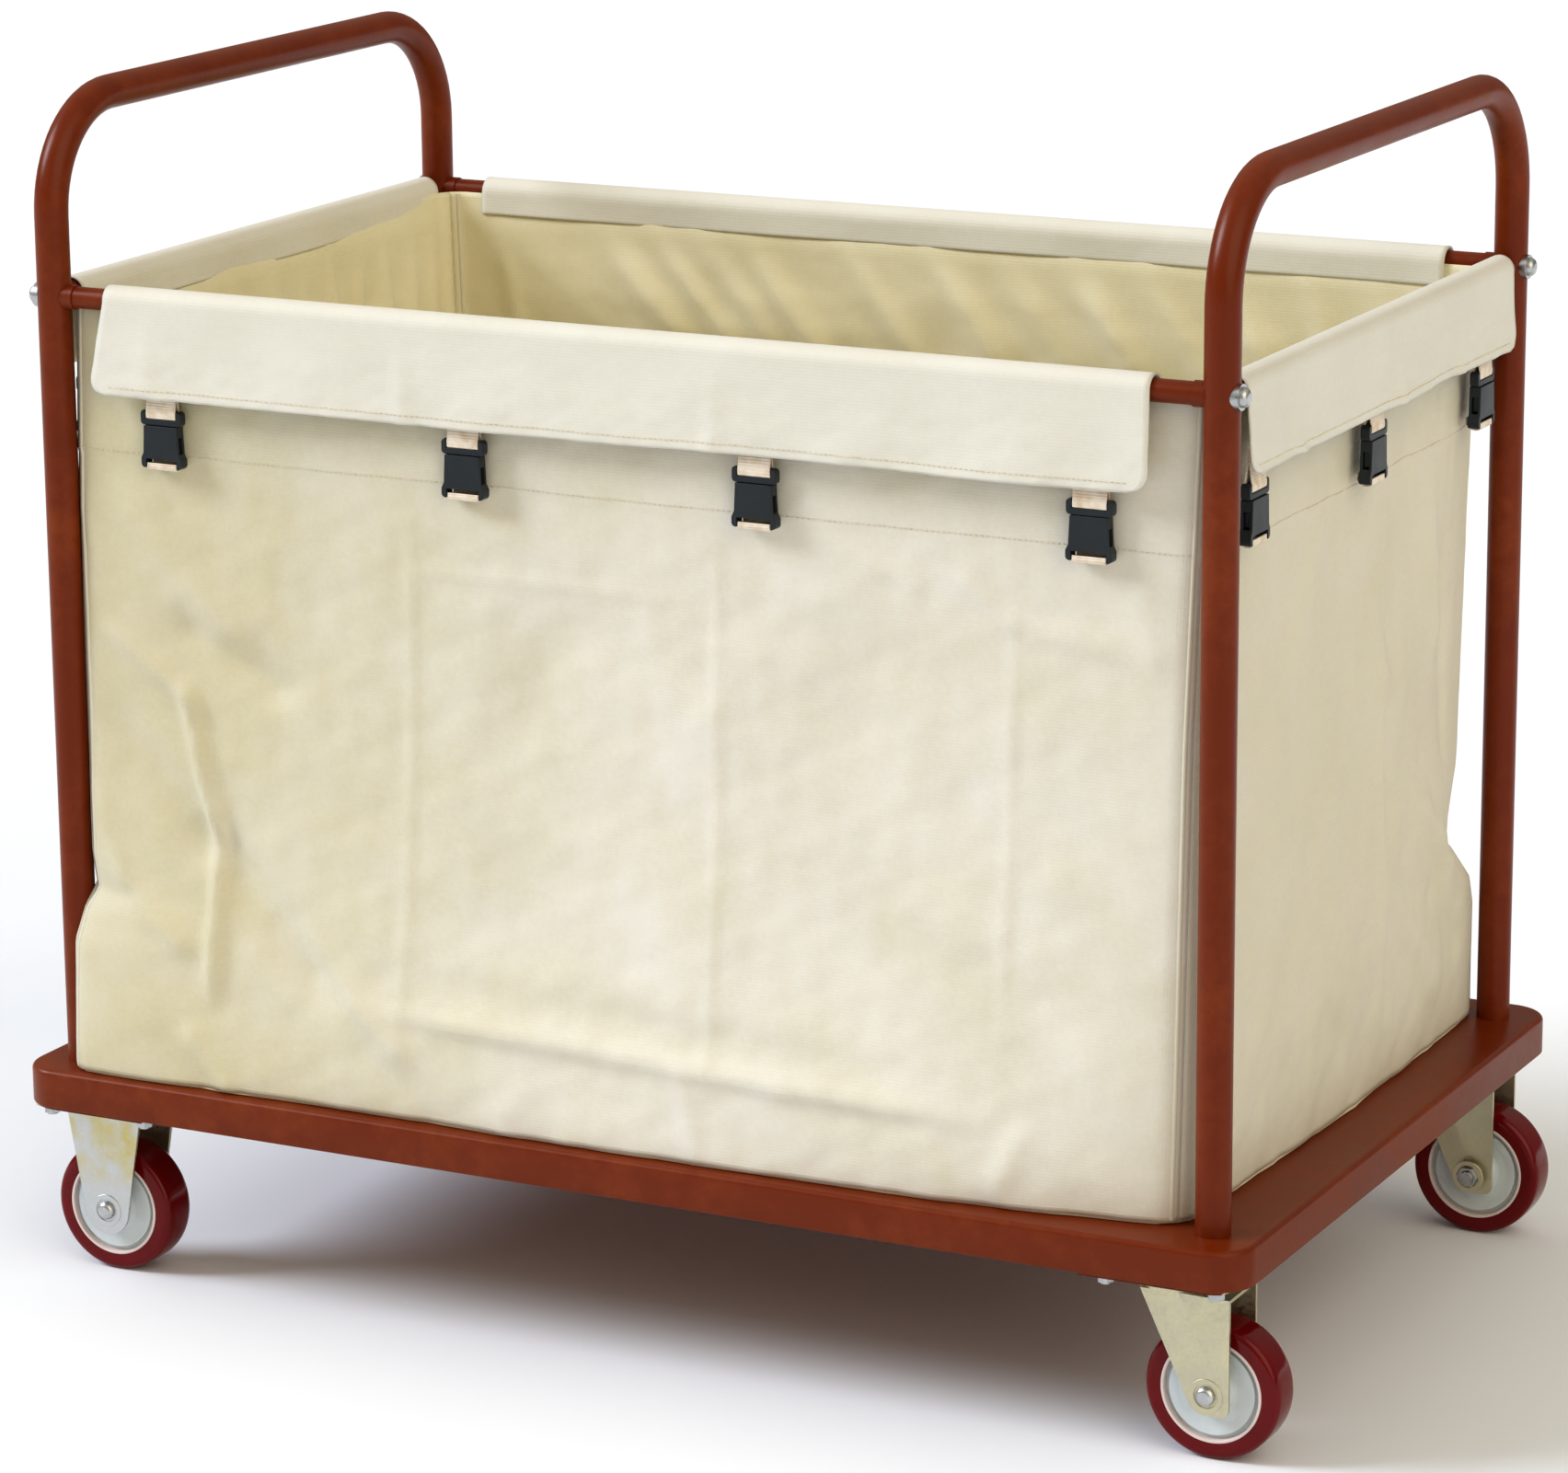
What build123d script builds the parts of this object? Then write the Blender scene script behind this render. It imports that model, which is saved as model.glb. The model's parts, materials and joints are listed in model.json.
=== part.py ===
from build123d import *
import os

# Housekeeping cart: a steel deck on four castors, two bent-tube hoops, four rails between them and
# a canvas bag that hangs from the rails and is held by side-release buckles.
# Millimetres, +Z up. The origin is on the floor under the deck's centre, +X points along the cart
# towards the swivel castors and -Y is the front.

# ------------------------------------------------------------------ driving dimensions
# Deck, a pressed pan that is open below
deck_length = 987.0
deck_width = 630.0
deck_sheet = 2.0
deck_skirt = 29.0
deck_corner = 30.0
deck_edge_round = 4.0

# Castor channels under the deck
channel_width = 104.0
channel_depth = 29.0
channel_sheet = 2.5
channel_gap = 0.3

# Hoops, each a pair of legs and a handle in one bent tube
overall_height = 896.0
hoop_tube_d = 25.0
hoop_tube_wall = 1.5
hoop_bend = 80.0
hoop_inset_x = 35.5
hoop_inset_y = 39.0

# Leg fixings
leg_plug_length = 30.0
leg_bolt_d = 10.0
leg_bolt_head_d = 17.0
leg_bolt_head_height = 6.5
leg_bolt_grip = 24.0

# Rails and cross tubes
rail_drop = 138.5
rail_d = 16.0
rail_wall = 1.5
rail_plug_length = 25.0
saddle_rim = 1.0
saddle_length = 7.0
rail_bolt_d = 8.0
rail_bolt_head_d = 14.0
rail_bolt_head_height = 5.0
rail_washer_length = 2.0
rail_bolt_grip = 14.0

# Bag and its flaps
cloth = 2.0
cloth_gap = 0.3
bag_bottom_inset_x = 15.0
bag_bottom_outset_y = 14.0
bag_bottom_corner = 34.0
bag_top_corner = 30.0
bag_floor_round = 4.0
side_flap_length = 820.0
side_flap_drop = 68.0
end_flap_length = 510.0
end_flap_drop = 57.0
flap_corner = 14.0

# Side-release buckles and their webbing
buckle_width = 34.0
body_mouth_width = 28.0
body_waist_width = 30.0
body_flare_top = 20.0
body_flare_end = 24.0
body_height = 31.0
body_thickness = 9.0
body_corner = 3.0
head_height = 11.0
head_thickness = 7.0
head_corner = 3.0
cavity_width = 24.6
cavity_thickness = 5.0
cavity_depth = 21.0
window_height = 12.0
window_top = 8.0
prong_width = 4.0
prong_length = 19.0
barb_width = 6.5
barb_height = 6.0
guide_length = 14.0
prong_side_gap = 0.3
slot_width = 26.0
slot_height = 3.6
bar_height = 3.0
body_bar_thickness = 5.0
head_bar_thickness = 4.0
webbing_width = 25.0
webbing_ply = 1.2
tab_thickness = 3.0
tab_top = 42.0
tab_patch = 12.0
loop_top = 25.0
tongue_gap = 1.3
buckle_below_hem = 20.0
side_buckle_inner = 115.0
side_buckle_outer = 366.0
end_buckle_spacing = 218.0
end_buckle_offset = -8.0

# Castors
wheel_d = 100.0
wheel_width = 32.0
castor_rise = 34.0
castor_inset_y = 55.0
rigid_castor_inset = 55.5
swivel_castor_inset = 67.5
swivel_trail = 31.5
plate_length = 104.0
plate_width = 84.0
plate_thickness = 3.0
plate_corner = 8.0
plate_holes_x = 82.0
plate_holes_y = 62.0
castor_bolt_d = 8.0
castor_bolt_head_d = 13.0
castor_bolt_head_height = 5.3
castor_nut_height = 6.5
castor_bolt_end = 1.5
fork_width = 50.0
fork_sheet = 2.5
rigid_fork_top = 66.0
rigid_fork_end_r = 19.0
swivel_fork_back = 18.0
swivel_fork_front = 48.5
swivel_fork_end_r = 14.5
swivel_fork_heel_r = 6.0
race_d = 58.0
race_bore = 40.0
race_height = 4.0
crown_d = 54.0
crown_thickness = 3.0
crown_lip = 1.8
crown_lip_height = 4.6
ball_d = 4.8
ball_circle_d = 45.0
ball_count = 16
ball_gap = 0.3
kingpin_d = 12.0
kingpin_head_d = 18.0
kingpin_head_height = 2.0
kingpin_nut_height = 6.0

# Wheels and axles
tyre_depth = 12.5
tyre_shoulder = 8.0
core_rim = 2.5
core_groove = 2.5
core_recess = 1.5
groove_depth = 3.5
hub_d = 32.0
hub_length = 40.0
bearing_d = 26.0
bearing_width = 8.0
sleeve_d = 16.0
axle_d = 10.0
axle_head_d = 14.0
axle_head_height = 4.5
axle_head_round = 3.8
axle_nut_d = 17.0
axle_nut_height = 8.0
axle_end = 2.0

# Clearances
hole_gap = 0.3
running_gap = 0.1
plug_gap = 0.05

# ------------------------------------------------------------------ derived places
castor_height = wheel_d + castor_rise
channel_bottom = castor_height
deck_underside = channel_bottom + channel_depth
deck_top = deck_underside + deck_sheet
skirt_bottom = deck_underside + deck_sheet - deck_skirt
hoop_x = deck_length / 2 - hoop_inset_x
hoop_y = deck_width / 2 - hoop_inset_y
hoop_top = overall_height - hoop_tube_d / 2
rail_z = hoop_top - rail_drop
rail_half = hoop_x - hoop_tube_d / 2 - saddle_length
saddle_d = rail_d + 2 * saddle_rim
castor_y = deck_width / 2 - castor_inset_y
rigid_x = -(deck_length / 2 - rigid_castor_inset)
swivel_x = deck_length / 2 - swivel_castor_inset
axle_z = wheel_d / 2
plate_bottom = castor_height - plate_thickness
race_bottom = plate_bottom - race_height
crown_top = race_bottom - ball_d - 2 * ball_gap
bag_floor = deck_top + cloth_gap
bag_top = rail_z - cloth_gap
flap_inner_r = rail_d / 2 + cloth_gap
buckle_out = flap_inner_r - head_thickness / 2 - tongue_gap
corners = [(sx, sy) for sx in (-1, 1) for sy in (-1, 1)]

os.makedirs("parts", exist_ok=True)


def save(name, solids):
    """Write one node; a list becomes a group of separate solids."""
    shape = Compound(children=list(solids)) if isinstance(solids, (list, tuple)) else solids
    export_step(shape, f"parts/{name}.step")


def rod(diameter, length, axis="Z"):
    """A solid cylinder from the origin along +X, +Y or +Z."""
    turn = {"X": Rot(0, 90, 0), "Y": Rot(-90, 0, 0), "Z": Rot(0, 0, 0)}[axis]
    return turn * Cylinder(diameter / 2, length, align=(Align.CENTER, Align.CENTER, Align.MIN))


def disc(diameter, width):
    """A cylinder along Y, centred on the origin."""
    return Rot(90, 0, 0) * Cylinder(diameter / 2, width)


def slab(x0, x1, y0, y1, z0, z1):
    """A box between two corners."""
    return Pos((x0 + x1) / 2, (y0 + y1) / 2, (z0 + z1) / 2) * Box(x1 - x0, y1 - y0, z1 - z0)


def hexagon(across, height, axis="Z"):
    """A hexagonal head or nut from the origin along an axis; across is its corner diameter."""
    turn = {"X": Rot(0, 90, 0), "Y": Rot(-90, 0, 0), "Z": Rot(0, 0, 0)}[axis]
    return turn * extrude(RegularPolygon(across / 2, 6), height)


# ------------------------------------------------------------------ frame
def deck():
    """Pan with a rounded rim, and a hole under each leg."""
    outer = Pos(0, 0, skirt_bottom) * extrude(
        RectangleRounded(deck_length, deck_width, deck_corner), deck_skirt)
    outer = fillet(outer.edges().group_by(Axis.Z)[-1], deck_edge_round)
    inner = Pos(0, 0, skirt_bottom) * extrude(
        RectangleRounded(deck_length - 2 * deck_sheet, deck_width - 2 * deck_sheet,
                         deck_corner - deck_sheet), deck_skirt - deck_sheet)
    pan = outer - inner
    for sx, sy in corners:
        pan -= Pos(sx * hoop_x, sy * hoop_y, skirt_bottom) * rod(leg_bolt_d + 2 * hole_gap, deck_skirt)
    return pan


def castor_channel(centre_x):
    """Channel across the deck, open upwards, with the castor bolt holes; it stays inside the skirt."""
    half = channel_width / 2
    reach = deck_width / 2
    bar = slab(-half, half, -reach, reach, channel_bottom, deck_underside)
    bar -= slab(-half + channel_sheet, half - channel_sheet, -reach, reach,
                channel_bottom + channel_sheet, deck_underside)
    for y in (-castor_y, castor_y):
        for sx, sy in corners:
            hole = rod(castor_bolt_d + 2 * hole_gap, channel_sheet)
            bar -= Pos(sx * plate_holes_x / 2, y + sy * plate_holes_y / 2, channel_bottom) * hole
    inset = deck_sheet + channel_gap
    inside = Pos(0, 0, channel_bottom) * extrude(
        RectangleRounded(deck_length - 2 * inset, deck_width - 2 * inset, deck_corner - inset), channel_depth)
    return Pos(centre_x, 0, 0) * bar & inside


def hoop(x):
    """Two legs and a handle bent from one tube, drilled for the rail bolts."""
    path = FilletPolyline((x, -hoop_y, deck_top), (x, -hoop_y, hoop_top),
                          (x, hoop_y, hoop_top), (x, hoop_y, deck_top), radius=hoop_bend)
    ring = Circle(hoop_tube_d / 2) - Circle(hoop_tube_d / 2 - hoop_tube_wall)
    tube = sweep(Plane(origin=path @ 0, z_dir=path % 0) * ring, path=path)
    for y in (-hoop_y, hoop_y):
        hole = rod(rail_bolt_d + 2 * hole_gap, 2 * hoop_tube_d, "X")
        tube -= Pos(x - hoop_tube_d, y, rail_z) * hole
    return tube


def leg_plug():
    """Threaded plug in a leg's lower end."""
    outer = rod(hoop_tube_d - 2 * hoop_tube_wall - 2 * plug_gap, leg_plug_length)
    return outer - rod(leg_bolt_d + 2 * plug_gap, leg_plug_length)


def leg_bolt():
    """Hexagon bolt up through the deck into the plug, from the deck's underside."""
    head = Pos(0, 0, -leg_bolt_head_height) * hexagon(leg_bolt_head_d, leg_bolt_head_height)
    return head + rod(leg_bolt_d, deck_sheet + leg_bolt_grip)


def rail():
    """Tube along X between the saddles."""
    length = 2 * rail_half
    tube = rod(rail_d, length, "X") - rod(rail_d - 2 * rail_wall, length, "X")
    return Pos(-rail_half, 0, rail_z) * tube


def rail_plug():
    """Threaded plug in a rail's +X end."""
    outer = rod(rail_d - 2 * rail_wall - 2 * plug_gap, rail_plug_length, "X")
    plug = outer - rod(rail_bolt_d + 2 * plug_gap, rail_plug_length, "X")
    return Pos(rail_half - rail_plug_length, 0, rail_z) * plug


def leg_cutter():
    """The outside of a leg at +X, near the rails."""
    height = 2 * hoop_tube_d
    return Pos(hoop_x, 0, rail_z - height / 2) * rod(hoop_tube_d, height)


def rail_saddle():
    """Ring on the rail's +X end, coped to the leg."""
    ring = rod(saddle_d, hoop_x - rail_half, "X") - rod(rail_bolt_d + 2 * hole_gap, hoop_x - rail_half, "X")
    return Pos(rail_half, 0, rail_z) * ring - leg_cutter()


def rail_bolt():
    """Domed bolt through the +X leg into the rail's plug."""
    seat = hoop_x + hoop_tube_d / 2 + rail_washer_length
    head = rod(rail_bolt_head_d, rail_bolt_head_height, "X")
    head = fillet(head.edges().group_by(Axis.X)[-1], rail_bolt_head_height * 0.9)
    start = rail_half - rail_bolt_grip
    return Pos(seat, 0, rail_z) * head + Pos(start, 0, rail_z) * rod(rail_bolt_d, seat - start, "X")


def rail_washer():
    """Washer under the bolt head, coped to the +X leg."""
    length = hoop_tube_d / 2 + rail_washer_length
    ring = rod(saddle_d, length, "X") - rod(rail_bolt_d + 2 * plug_gap, length, "X")
    return Pos(hoop_x, 0, rail_z) * ring - leg_cutter()


def at_rail_ends(piece):
    """Copies of a +X rail-end piece at both ends of the front and the back rail."""
    return [Rot(0, 0, turn) * Pos(0, sy * hoop_y, 0) * piece for turn in (0, 180) for sy in (-1, 1)]


def cross_tube(x):
    """Tube along Y between a hoop's legs, coped to them and clear of the saddles and washers."""
    length = 2 * hoop_y
    tube = rod(rail_d, length, "Y") - rod(rail_d - 2 * rail_wall, length, "Y")
    tube = Pos(x, -hoop_y, rail_z) * tube
    for y in (-hoop_y, hoop_y):
        tube -= Pos(x, y, rail_z - hoop_tube_d) * rod(hoop_tube_d, 2 * hoop_tube_d)
        tube -= Pos(x - hoop_tube_d, y, rail_z) * rod(saddle_d + 2 * hole_gap, 2 * hoop_tube_d, "X")
    return tube


# ------------------------------------------------------------------ bag
def bag_half(z):
    """The bag's outer half length, half width and corner radius at a height."""
    share = (z - bag_floor) / (bag_top - bag_floor)
    low = (hoop_x - bag_bottom_inset_x, hoop_y + bag_bottom_outset_y, bag_bottom_corner)
    high = (hoop_x - flap_inner_r, hoop_y - flap_inner_r, bag_top_corner)
    return [a + share * (b - a) for a, b in zip(low, high)]


def bag_block(z0, z1, inset):
    """The bag's tapered block between two heights, all round smaller by inset."""
    faces = []
    for z in (z0, z1):
        half_x, half_y, corner = (value - inset for value in bag_half(z))
        faces.append(Pos(0, 0, z) * RectangleRounded(2 * half_x, 2 * half_y, corner))
    return loft(faces, ruled=True)


def bag_body():
    """Four cloth walls and a floor, with a small round where they meet inside."""
    inside = bag_block(bag_floor + cloth, bag_top + cloth, cloth)
    inside = fillet(inside.edges().group_by(Axis.Z)[0], bag_floor_round)
    return bag_block(bag_floor, bag_top, 0) - inside


def flap(length, drop):
    """Cloth folded over a rail: its axis is the X axis and it hangs on the -Y side."""
    outer_r = flap_inner_r + cloth
    fold = Rot(0, 90, 0) * (Cylinder(outer_r, length) - Cylinder(flap_inner_r, length))
    fold &= slab(-length, length, -2 * outer_r, 2 * outer_r, 0, 2 * outer_r)
    skirt = slab(-length / 2, length / 2, -outer_r, -flap_inner_r, -drop, 0)
    skirt = fillet(skirt.edges().filter_by(Axis.Y).group_by(Axis.Z)[0], flap_corner)
    return fold + skirt


# ------------------------------------------------------------------ buckles
# A buckle is made with its joint line at z = 0, its width along X and its face towards -Y.
def case_outline():
    """The case seen from the front: narrow at its mouth and full width below its windows."""
    half_side = [(body_mouth_width / 2, 0), (body_waist_width / 2, -body_flare_top),
                 (buckle_width / 2, -body_flare_end), (buckle_width / 2, -body_height)]
    points = half_side + [(-x, z) for x, z in reversed(half_side)]
    outline = make_face(Polyline(*points, close=True))
    return fillet(outline.vertices().group_by(Axis.Y)[0], body_corner)


def buckle_body():
    """The half on the bag: a flat case with a mouth, side windows and a bar for its webbing."""
    case = extrude(Plane.XZ * case_outline(), body_thickness / 2, both=True)
    half = cavity_width / 2
    deep = cavity_thickness / 2
    case -= slab(-half, half, -deep, deep, -cavity_depth, 0)
    case -= slab(-buckle_width, buckle_width, -deep, deep, -window_top - window_height, -window_top)
    bar_top = -body_height + bar_height
    wide = slot_width / 2
    case -= slab(-wide, wide, -body_thickness, body_thickness, bar_top, bar_top + slot_height)
    for sy in (-1, 1):
        near, far = sorted((sy * body_bar_thickness / 2, sy * body_thickness))
        case -= slab(-wide, wide, near, far, -body_height, bar_top)
    return case


def buckle_tongue():
    """The half that comes out: a head with a bar for its tab, two prongs and a guide."""
    head = extrude(Plane.XZ * RectangleRounded(buckle_width, head_height, head_corner), head_thickness / 2,
                   both=True)
    head = Pos(0, 0, ball_gap + head_height / 2) * head
    top = ball_gap + head_height
    wide = slot_width / 2
    head -= slab(-wide, wide, -head_thickness, head_thickness, top - bar_height - slot_height, top - bar_height)
    for sy in (-1, 1):
        near, far = sorted((sy * head_bar_thickness / 2, sy * head_thickness))
        head -= slab(-wide, wide, near, far, top - bar_height, top)
    root = ball_gap + head_height - bar_height - slot_height
    deep = cavity_thickness / 2 - prong_side_gap
    outer = cavity_width / 2 - prong_side_gap
    for sx in (-1, 1):
        near, far = sorted((sx * (outer - prong_width), sx * outer))
        head += slab(near, far, -deep, deep, -prong_length, root)
        near, far = sorted((sx * (outer - barb_width), sx * outer))
        head += slab(near, far, -deep, deep, -prong_length, -prong_length + barb_height)
    head += slab(-prong_width / 2, prong_width / 2, -deep, deep, -guide_length, root)
    return head


def wrap(bar_thickness, low, high):
    """Webbing once round a bar that lies between two heights."""
    wide = webbing_width / 2
    inner = bar_thickness / 2 + cloth_gap
    outer = inner + webbing_ply
    ring = slab(-wide, wide, -outer, outer, low - cloth_gap - webbing_ply, high + cloth_gap + webbing_ply)
    return ring - slab(-wide, wide, -inner, inner, low - cloth_gap, high + cloth_gap)


def webbing_tab():
    """Webbing round the tongue's bar and up behind the flap, where its end touches the cloth."""
    top = ball_gap + head_height
    wide = webbing_width / 2
    half = tab_thickness / 2
    tab = wrap(head_bar_thickness, top - bar_height, top)
    tab += slab(-wide, wide, -half, half, top + cloth_gap, tab_top)
    reach = flap_inner_r - buckle_out - cloth_gap
    return tab + slab(-wide, wide, -reach, half, tab_top - tab_patch, tab_top)


def webbing_loop(wall):
    """Webbing round the body's bar and up to its seam; wall is the cloth's distance behind."""
    wide = webbing_width / 2
    loop = wrap(body_bar_thickness, -body_height, -body_height + bar_height)
    low = -body_height - cloth_gap - webbing_ply
    back = wall - cloth_gap
    loop += slab(-wide, wide, 0, back, low, low + webbing_ply)
    return loop + slab(-wide, wide, back - webbing_ply, back, low, -loop_top)


side_places = [-side_buckle_outer, -side_buckle_inner, side_buckle_inner, side_buckle_outer]
end_places = [end_buckle_offset + step * end_buckle_spacing for step in (-1, 0, 1)]
mirrored_ends = [-place for place in reversed(end_places)]
side_joint_z = rail_z - side_flap_drop - buckle_below_hem
end_joint_z = rail_z - end_flap_drop - buckle_below_hem

# name: turn about Z, distance of the rail from the centre, places along it, height, flap size
sides = {
    "front": (0, hoop_y, side_places, side_joint_z, (side_flap_length, side_flap_drop)),
    "right": (90, hoop_x, end_places, end_joint_z, (end_flap_length, end_flap_drop)),
    "back": (180, hoop_y, side_places, side_joint_z, (side_flap_length, side_flap_drop)),
    "left": (-90, hoop_x, mirrored_ends, end_joint_z, (end_flap_length, end_flap_drop)),
}


def wall_behind(side, joint_z):
    """Distance from a buckle's middle back to the bag's wall, at the loop's lowest point."""
    half_x, half_y, corner = bag_half(joint_z - body_height - cloth_gap - webbing_ply)
    wall = half_x if side in ("left", "right") else half_y
    rail_distance = sides[side][1]
    return rail_distance + buckle_out - wall


# ------------------------------------------------------------------ castors
# A castor is made with its plate's centre on the Z axis and its wheel's axle along Y.
def castor_plate():
    """Mounting plate with four holes."""
    plate = extrude(RectangleRounded(plate_length, plate_width, plate_corner), plate_thickness)
    for sx, sy in corners:
        hole = rod(castor_bolt_d + 2 * hole_gap, plate_thickness)
        plate -= Pos(sx * plate_holes_x / 2, sy * plate_holes_y / 2, 0) * hole
    return Pos(0, 0, plate_bottom) * plate


def pressed_fork(top, back, front, axle_x, ends):
    """Folded sheet: two cheeks that narrow from their top line to round ends, joined above."""
    half = fork_width / 2
    rounds = [(Pos(x, z) * Circle(r)).edge() for x, z, r in ends]
    outline = make_hull([Line((-back, top), (front, top)).edge()] + rounds)
    sheet = extrude(Plane.XZ * outline, half, both=True)
    inside = half - fork_sheet
    sheet -= slab(-2 * plate_length, 2 * plate_length, -inside, inside, -top, top - fork_sheet)
    bore = disc(axle_d + 2 * plug_gap, fork_width)
    return sheet - Pos(axle_x, 0, axle_z) * bore


def rigid_bracket():
    """Plate and fork of a rigid castor in one piece."""
    half = rigid_fork_top / 2
    return castor_plate() + pressed_fork(plate_bottom, half, half, 0, [(0, axle_z, rigid_fork_end_r)])


def swivel_plate():
    """Plate with the upper ball race, bored for the kingpin."""
    race = Pos(0, 0, race_bottom) * (rod(race_d, race_height) - rod(race_bore, race_height))
    plate = castor_plate() + race
    plate -= Pos(0, 0, plate_bottom) * rod(kingpin_d + 2 * plug_gap, plate_thickness)
    sink = Pos(0, 0, castor_height - kingpin_head_height) * rod(kingpin_head_d + 2 * plug_gap, kingpin_head_height)
    return plate - sink


def kingpin():
    """Countersunk pin through plate and fork, with its nut below the fork's crown."""
    head = Pos(0, 0, castor_height - kingpin_head_height) * rod(kingpin_head_d, kingpin_head_height)
    nut_top = crown_top - crown_thickness - ball_gap
    nut = Pos(0, 0, nut_top - kingpin_nut_height) * hexagon(kingpin_head_d, kingpin_nut_height)
    shank = Pos(0, 0, nut_top - kingpin_nut_height) * rod(kingpin_d, castor_height - nut_top + kingpin_nut_height)
    return head + nut + shank


def ball_ring():
    """The balls between the two races."""
    ball = Sphere(ball_d / 2)
    centre_z = crown_top + ball_gap + ball_d / 2
    ring = PolarLocations(ball_circle_d / 2, ball_count)
    return [Pos(0, 0, centre_z) * place * ball for place in ring]


def swivel_fork():
    """Raked fork with its round crown and the lip that holds the balls in."""
    heel_x = swivel_fork_front - swivel_fork_heel_r
    heel_z = axle_z - swivel_fork_end_r + swivel_fork_heel_r
    ends = [(swivel_trail, axle_z, swivel_fork_end_r), (heel_x, heel_z, swivel_fork_heel_r)]
    fork = pressed_fork(crown_top, swivel_fork_back, swivel_fork_front, swivel_trail, ends)
    fork += Pos(0, 0, crown_top - crown_thickness) * rod(crown_d, crown_thickness)
    lip = rod(crown_d, crown_lip_height) - rod(crown_d - 2 * crown_lip, crown_lip_height)
    fork += Pos(0, 0, crown_top) * lip
    return fork - Pos(0, 0, crown_top - crown_thickness) * rod(kingpin_d + 2 * running_gap, crown_thickness)


def tyre():
    """Ring with rounded shoulders."""
    ring = disc(wheel_d, wheel_width)
    ring = fillet(ring.edges(), tyre_shoulder)
    return ring - disc(wheel_d - 2 * tyre_depth, wheel_width)


def wheel_core():
    """Disc with a raised rim and a groove on each face, and a long hub."""
    outer_d = wheel_d - 2 * tyre_depth
    groove_d = outer_d - 2 * core_rim
    web_d = groove_d - 2 * core_groove
    core = disc(outer_d, wheel_width)
    for sy in (-1, 1):
        face = wheel_width / 2
        core -= Pos(0, sy * (face - core_recess / 2), 0) * disc(groove_d, core_recess)
        groove = disc(groove_d, groove_depth) - disc(web_d, groove_depth)
        core -= Pos(0, sy * (face - groove_depth / 2), 0) * groove
    core += disc(hub_d, hub_length)
    return core - disc(bearing_d + 2 * plug_gap, hub_length)


def wheel_bearings():
    """A ball bearing, as one ring, in each end of the hub."""
    ring = disc(bearing_d, bearing_width) - disc(sleeve_d + 2 * running_gap, bearing_width)
    return [Pos(0, sy * (hub_length - bearing_width) / 2, 0) * ring for sy in (-1, 1)]


def axle():
    """Domed bolt, nut and sleeve; the bolt's head is on the -Y side."""
    half = fork_width / 2
    inner_gap = fork_width - 2 * fork_sheet
    end = half + axle_nut_height + axle_end
    head = Pos(0, -half - axle_head_height, 0) * rod(axle_head_d, axle_head_height, "Y")
    head = fillet(head.edges().group_by(Axis.Y)[0], axle_head_round)
    bolt = head + Pos(0, -half, 0) * rod(axle_d, half + end, "Y")
    nut = Pos(0, half, 0) * hexagon(axle_nut_d, axle_nut_height, "Y")
    nut -= Pos(0, half, 0) * rod(axle_d + 2 * plug_gap, axle_nut_height, "Y")
    sleeve = disc(sleeve_d, inner_gap) - disc(axle_d + 2 * plug_gap, inner_gap)
    return [bolt, nut, sleeve]


def castor_fixings():
    """Bolts with their heads inside the channel and nuts under the plate."""
    pieces = []
    web_top = channel_bottom + channel_sheet
    low = plate_bottom - castor_nut_height - castor_bolt_end
    for sx, sy in corners:
        spot = Pos(sx * plate_holes_x / 2, sy * plate_holes_y / 2, 0)
        bolt = Pos(0, 0, web_top) * hexagon(castor_bolt_head_d, castor_bolt_head_height)
        bolt += Pos(0, 0, low) * rod(castor_bolt_d, web_top - low)
        nut = Pos(0, 0, plate_bottom - castor_nut_height) * (
            hexagon(castor_bolt_head_d, castor_nut_height) - rod(castor_bolt_d + 2 * plug_gap, castor_nut_height))
        pieces += [spot * bolt, spot * nut]
    return pieces


# ------------------------------------------------------------------ write the nodes
def write_frame():
    save("deck", deck())
    save("left_castor_channel", castor_channel(rigid_x))
    save("right_castor_channel", castor_channel(swivel_x))
    save("left_hoop", hoop(-hoop_x))
    save("right_hoop", hoop(hoop_x))
    leg_pieces = []
    for sx, sy in corners:
        leg_pieces.append(Pos(sx * hoop_x, sy * hoop_y, deck_top) * leg_plug())
        leg_pieces.append(Pos(sx * hoop_x, sy * hoop_y, deck_underside) * leg_bolt())
    save("leg_fixings", leg_pieces)
    save("front_rail", Pos(0, -hoop_y, 0) * rail())
    save("back_rail", Pos(0, hoop_y, 0) * rail())
    save("left_cross_tube", cross_tube(-hoop_x))
    save("right_cross_tube", cross_tube(hoop_x))
    save("rail_end_fittings", at_rail_ends(rail_plug()) + at_rail_ends(rail_saddle()))
    save("rail_bolts", at_rail_ends(rail_bolt()) + at_rail_ends(rail_washer()))


def write_bag():
    save("bag_body", bag_body())
    loops, bodies = [], []
    for side, (turn, distance, places, joint_z, (length, drop)) in sides.items():
        save(f"{side}_flap", Rot(0, 0, turn) * Pos(0, -distance, rail_z) * flap(length, drop))
        for number, along in enumerate(places, 1):
            spot = Rot(0, 0, turn) * Pos(along, -distance - buckle_out, joint_z)
            bodies.append(spot * buckle_body())
            loops.append(spot * webbing_loop(wall_behind(side, joint_z)))
            save(f"{side}_tongue_{number}", [spot * buckle_tongue(), spot * webbing_tab()])
    save("buckle_bodies", bodies)
    save("webbing_loops", loops)


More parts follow.
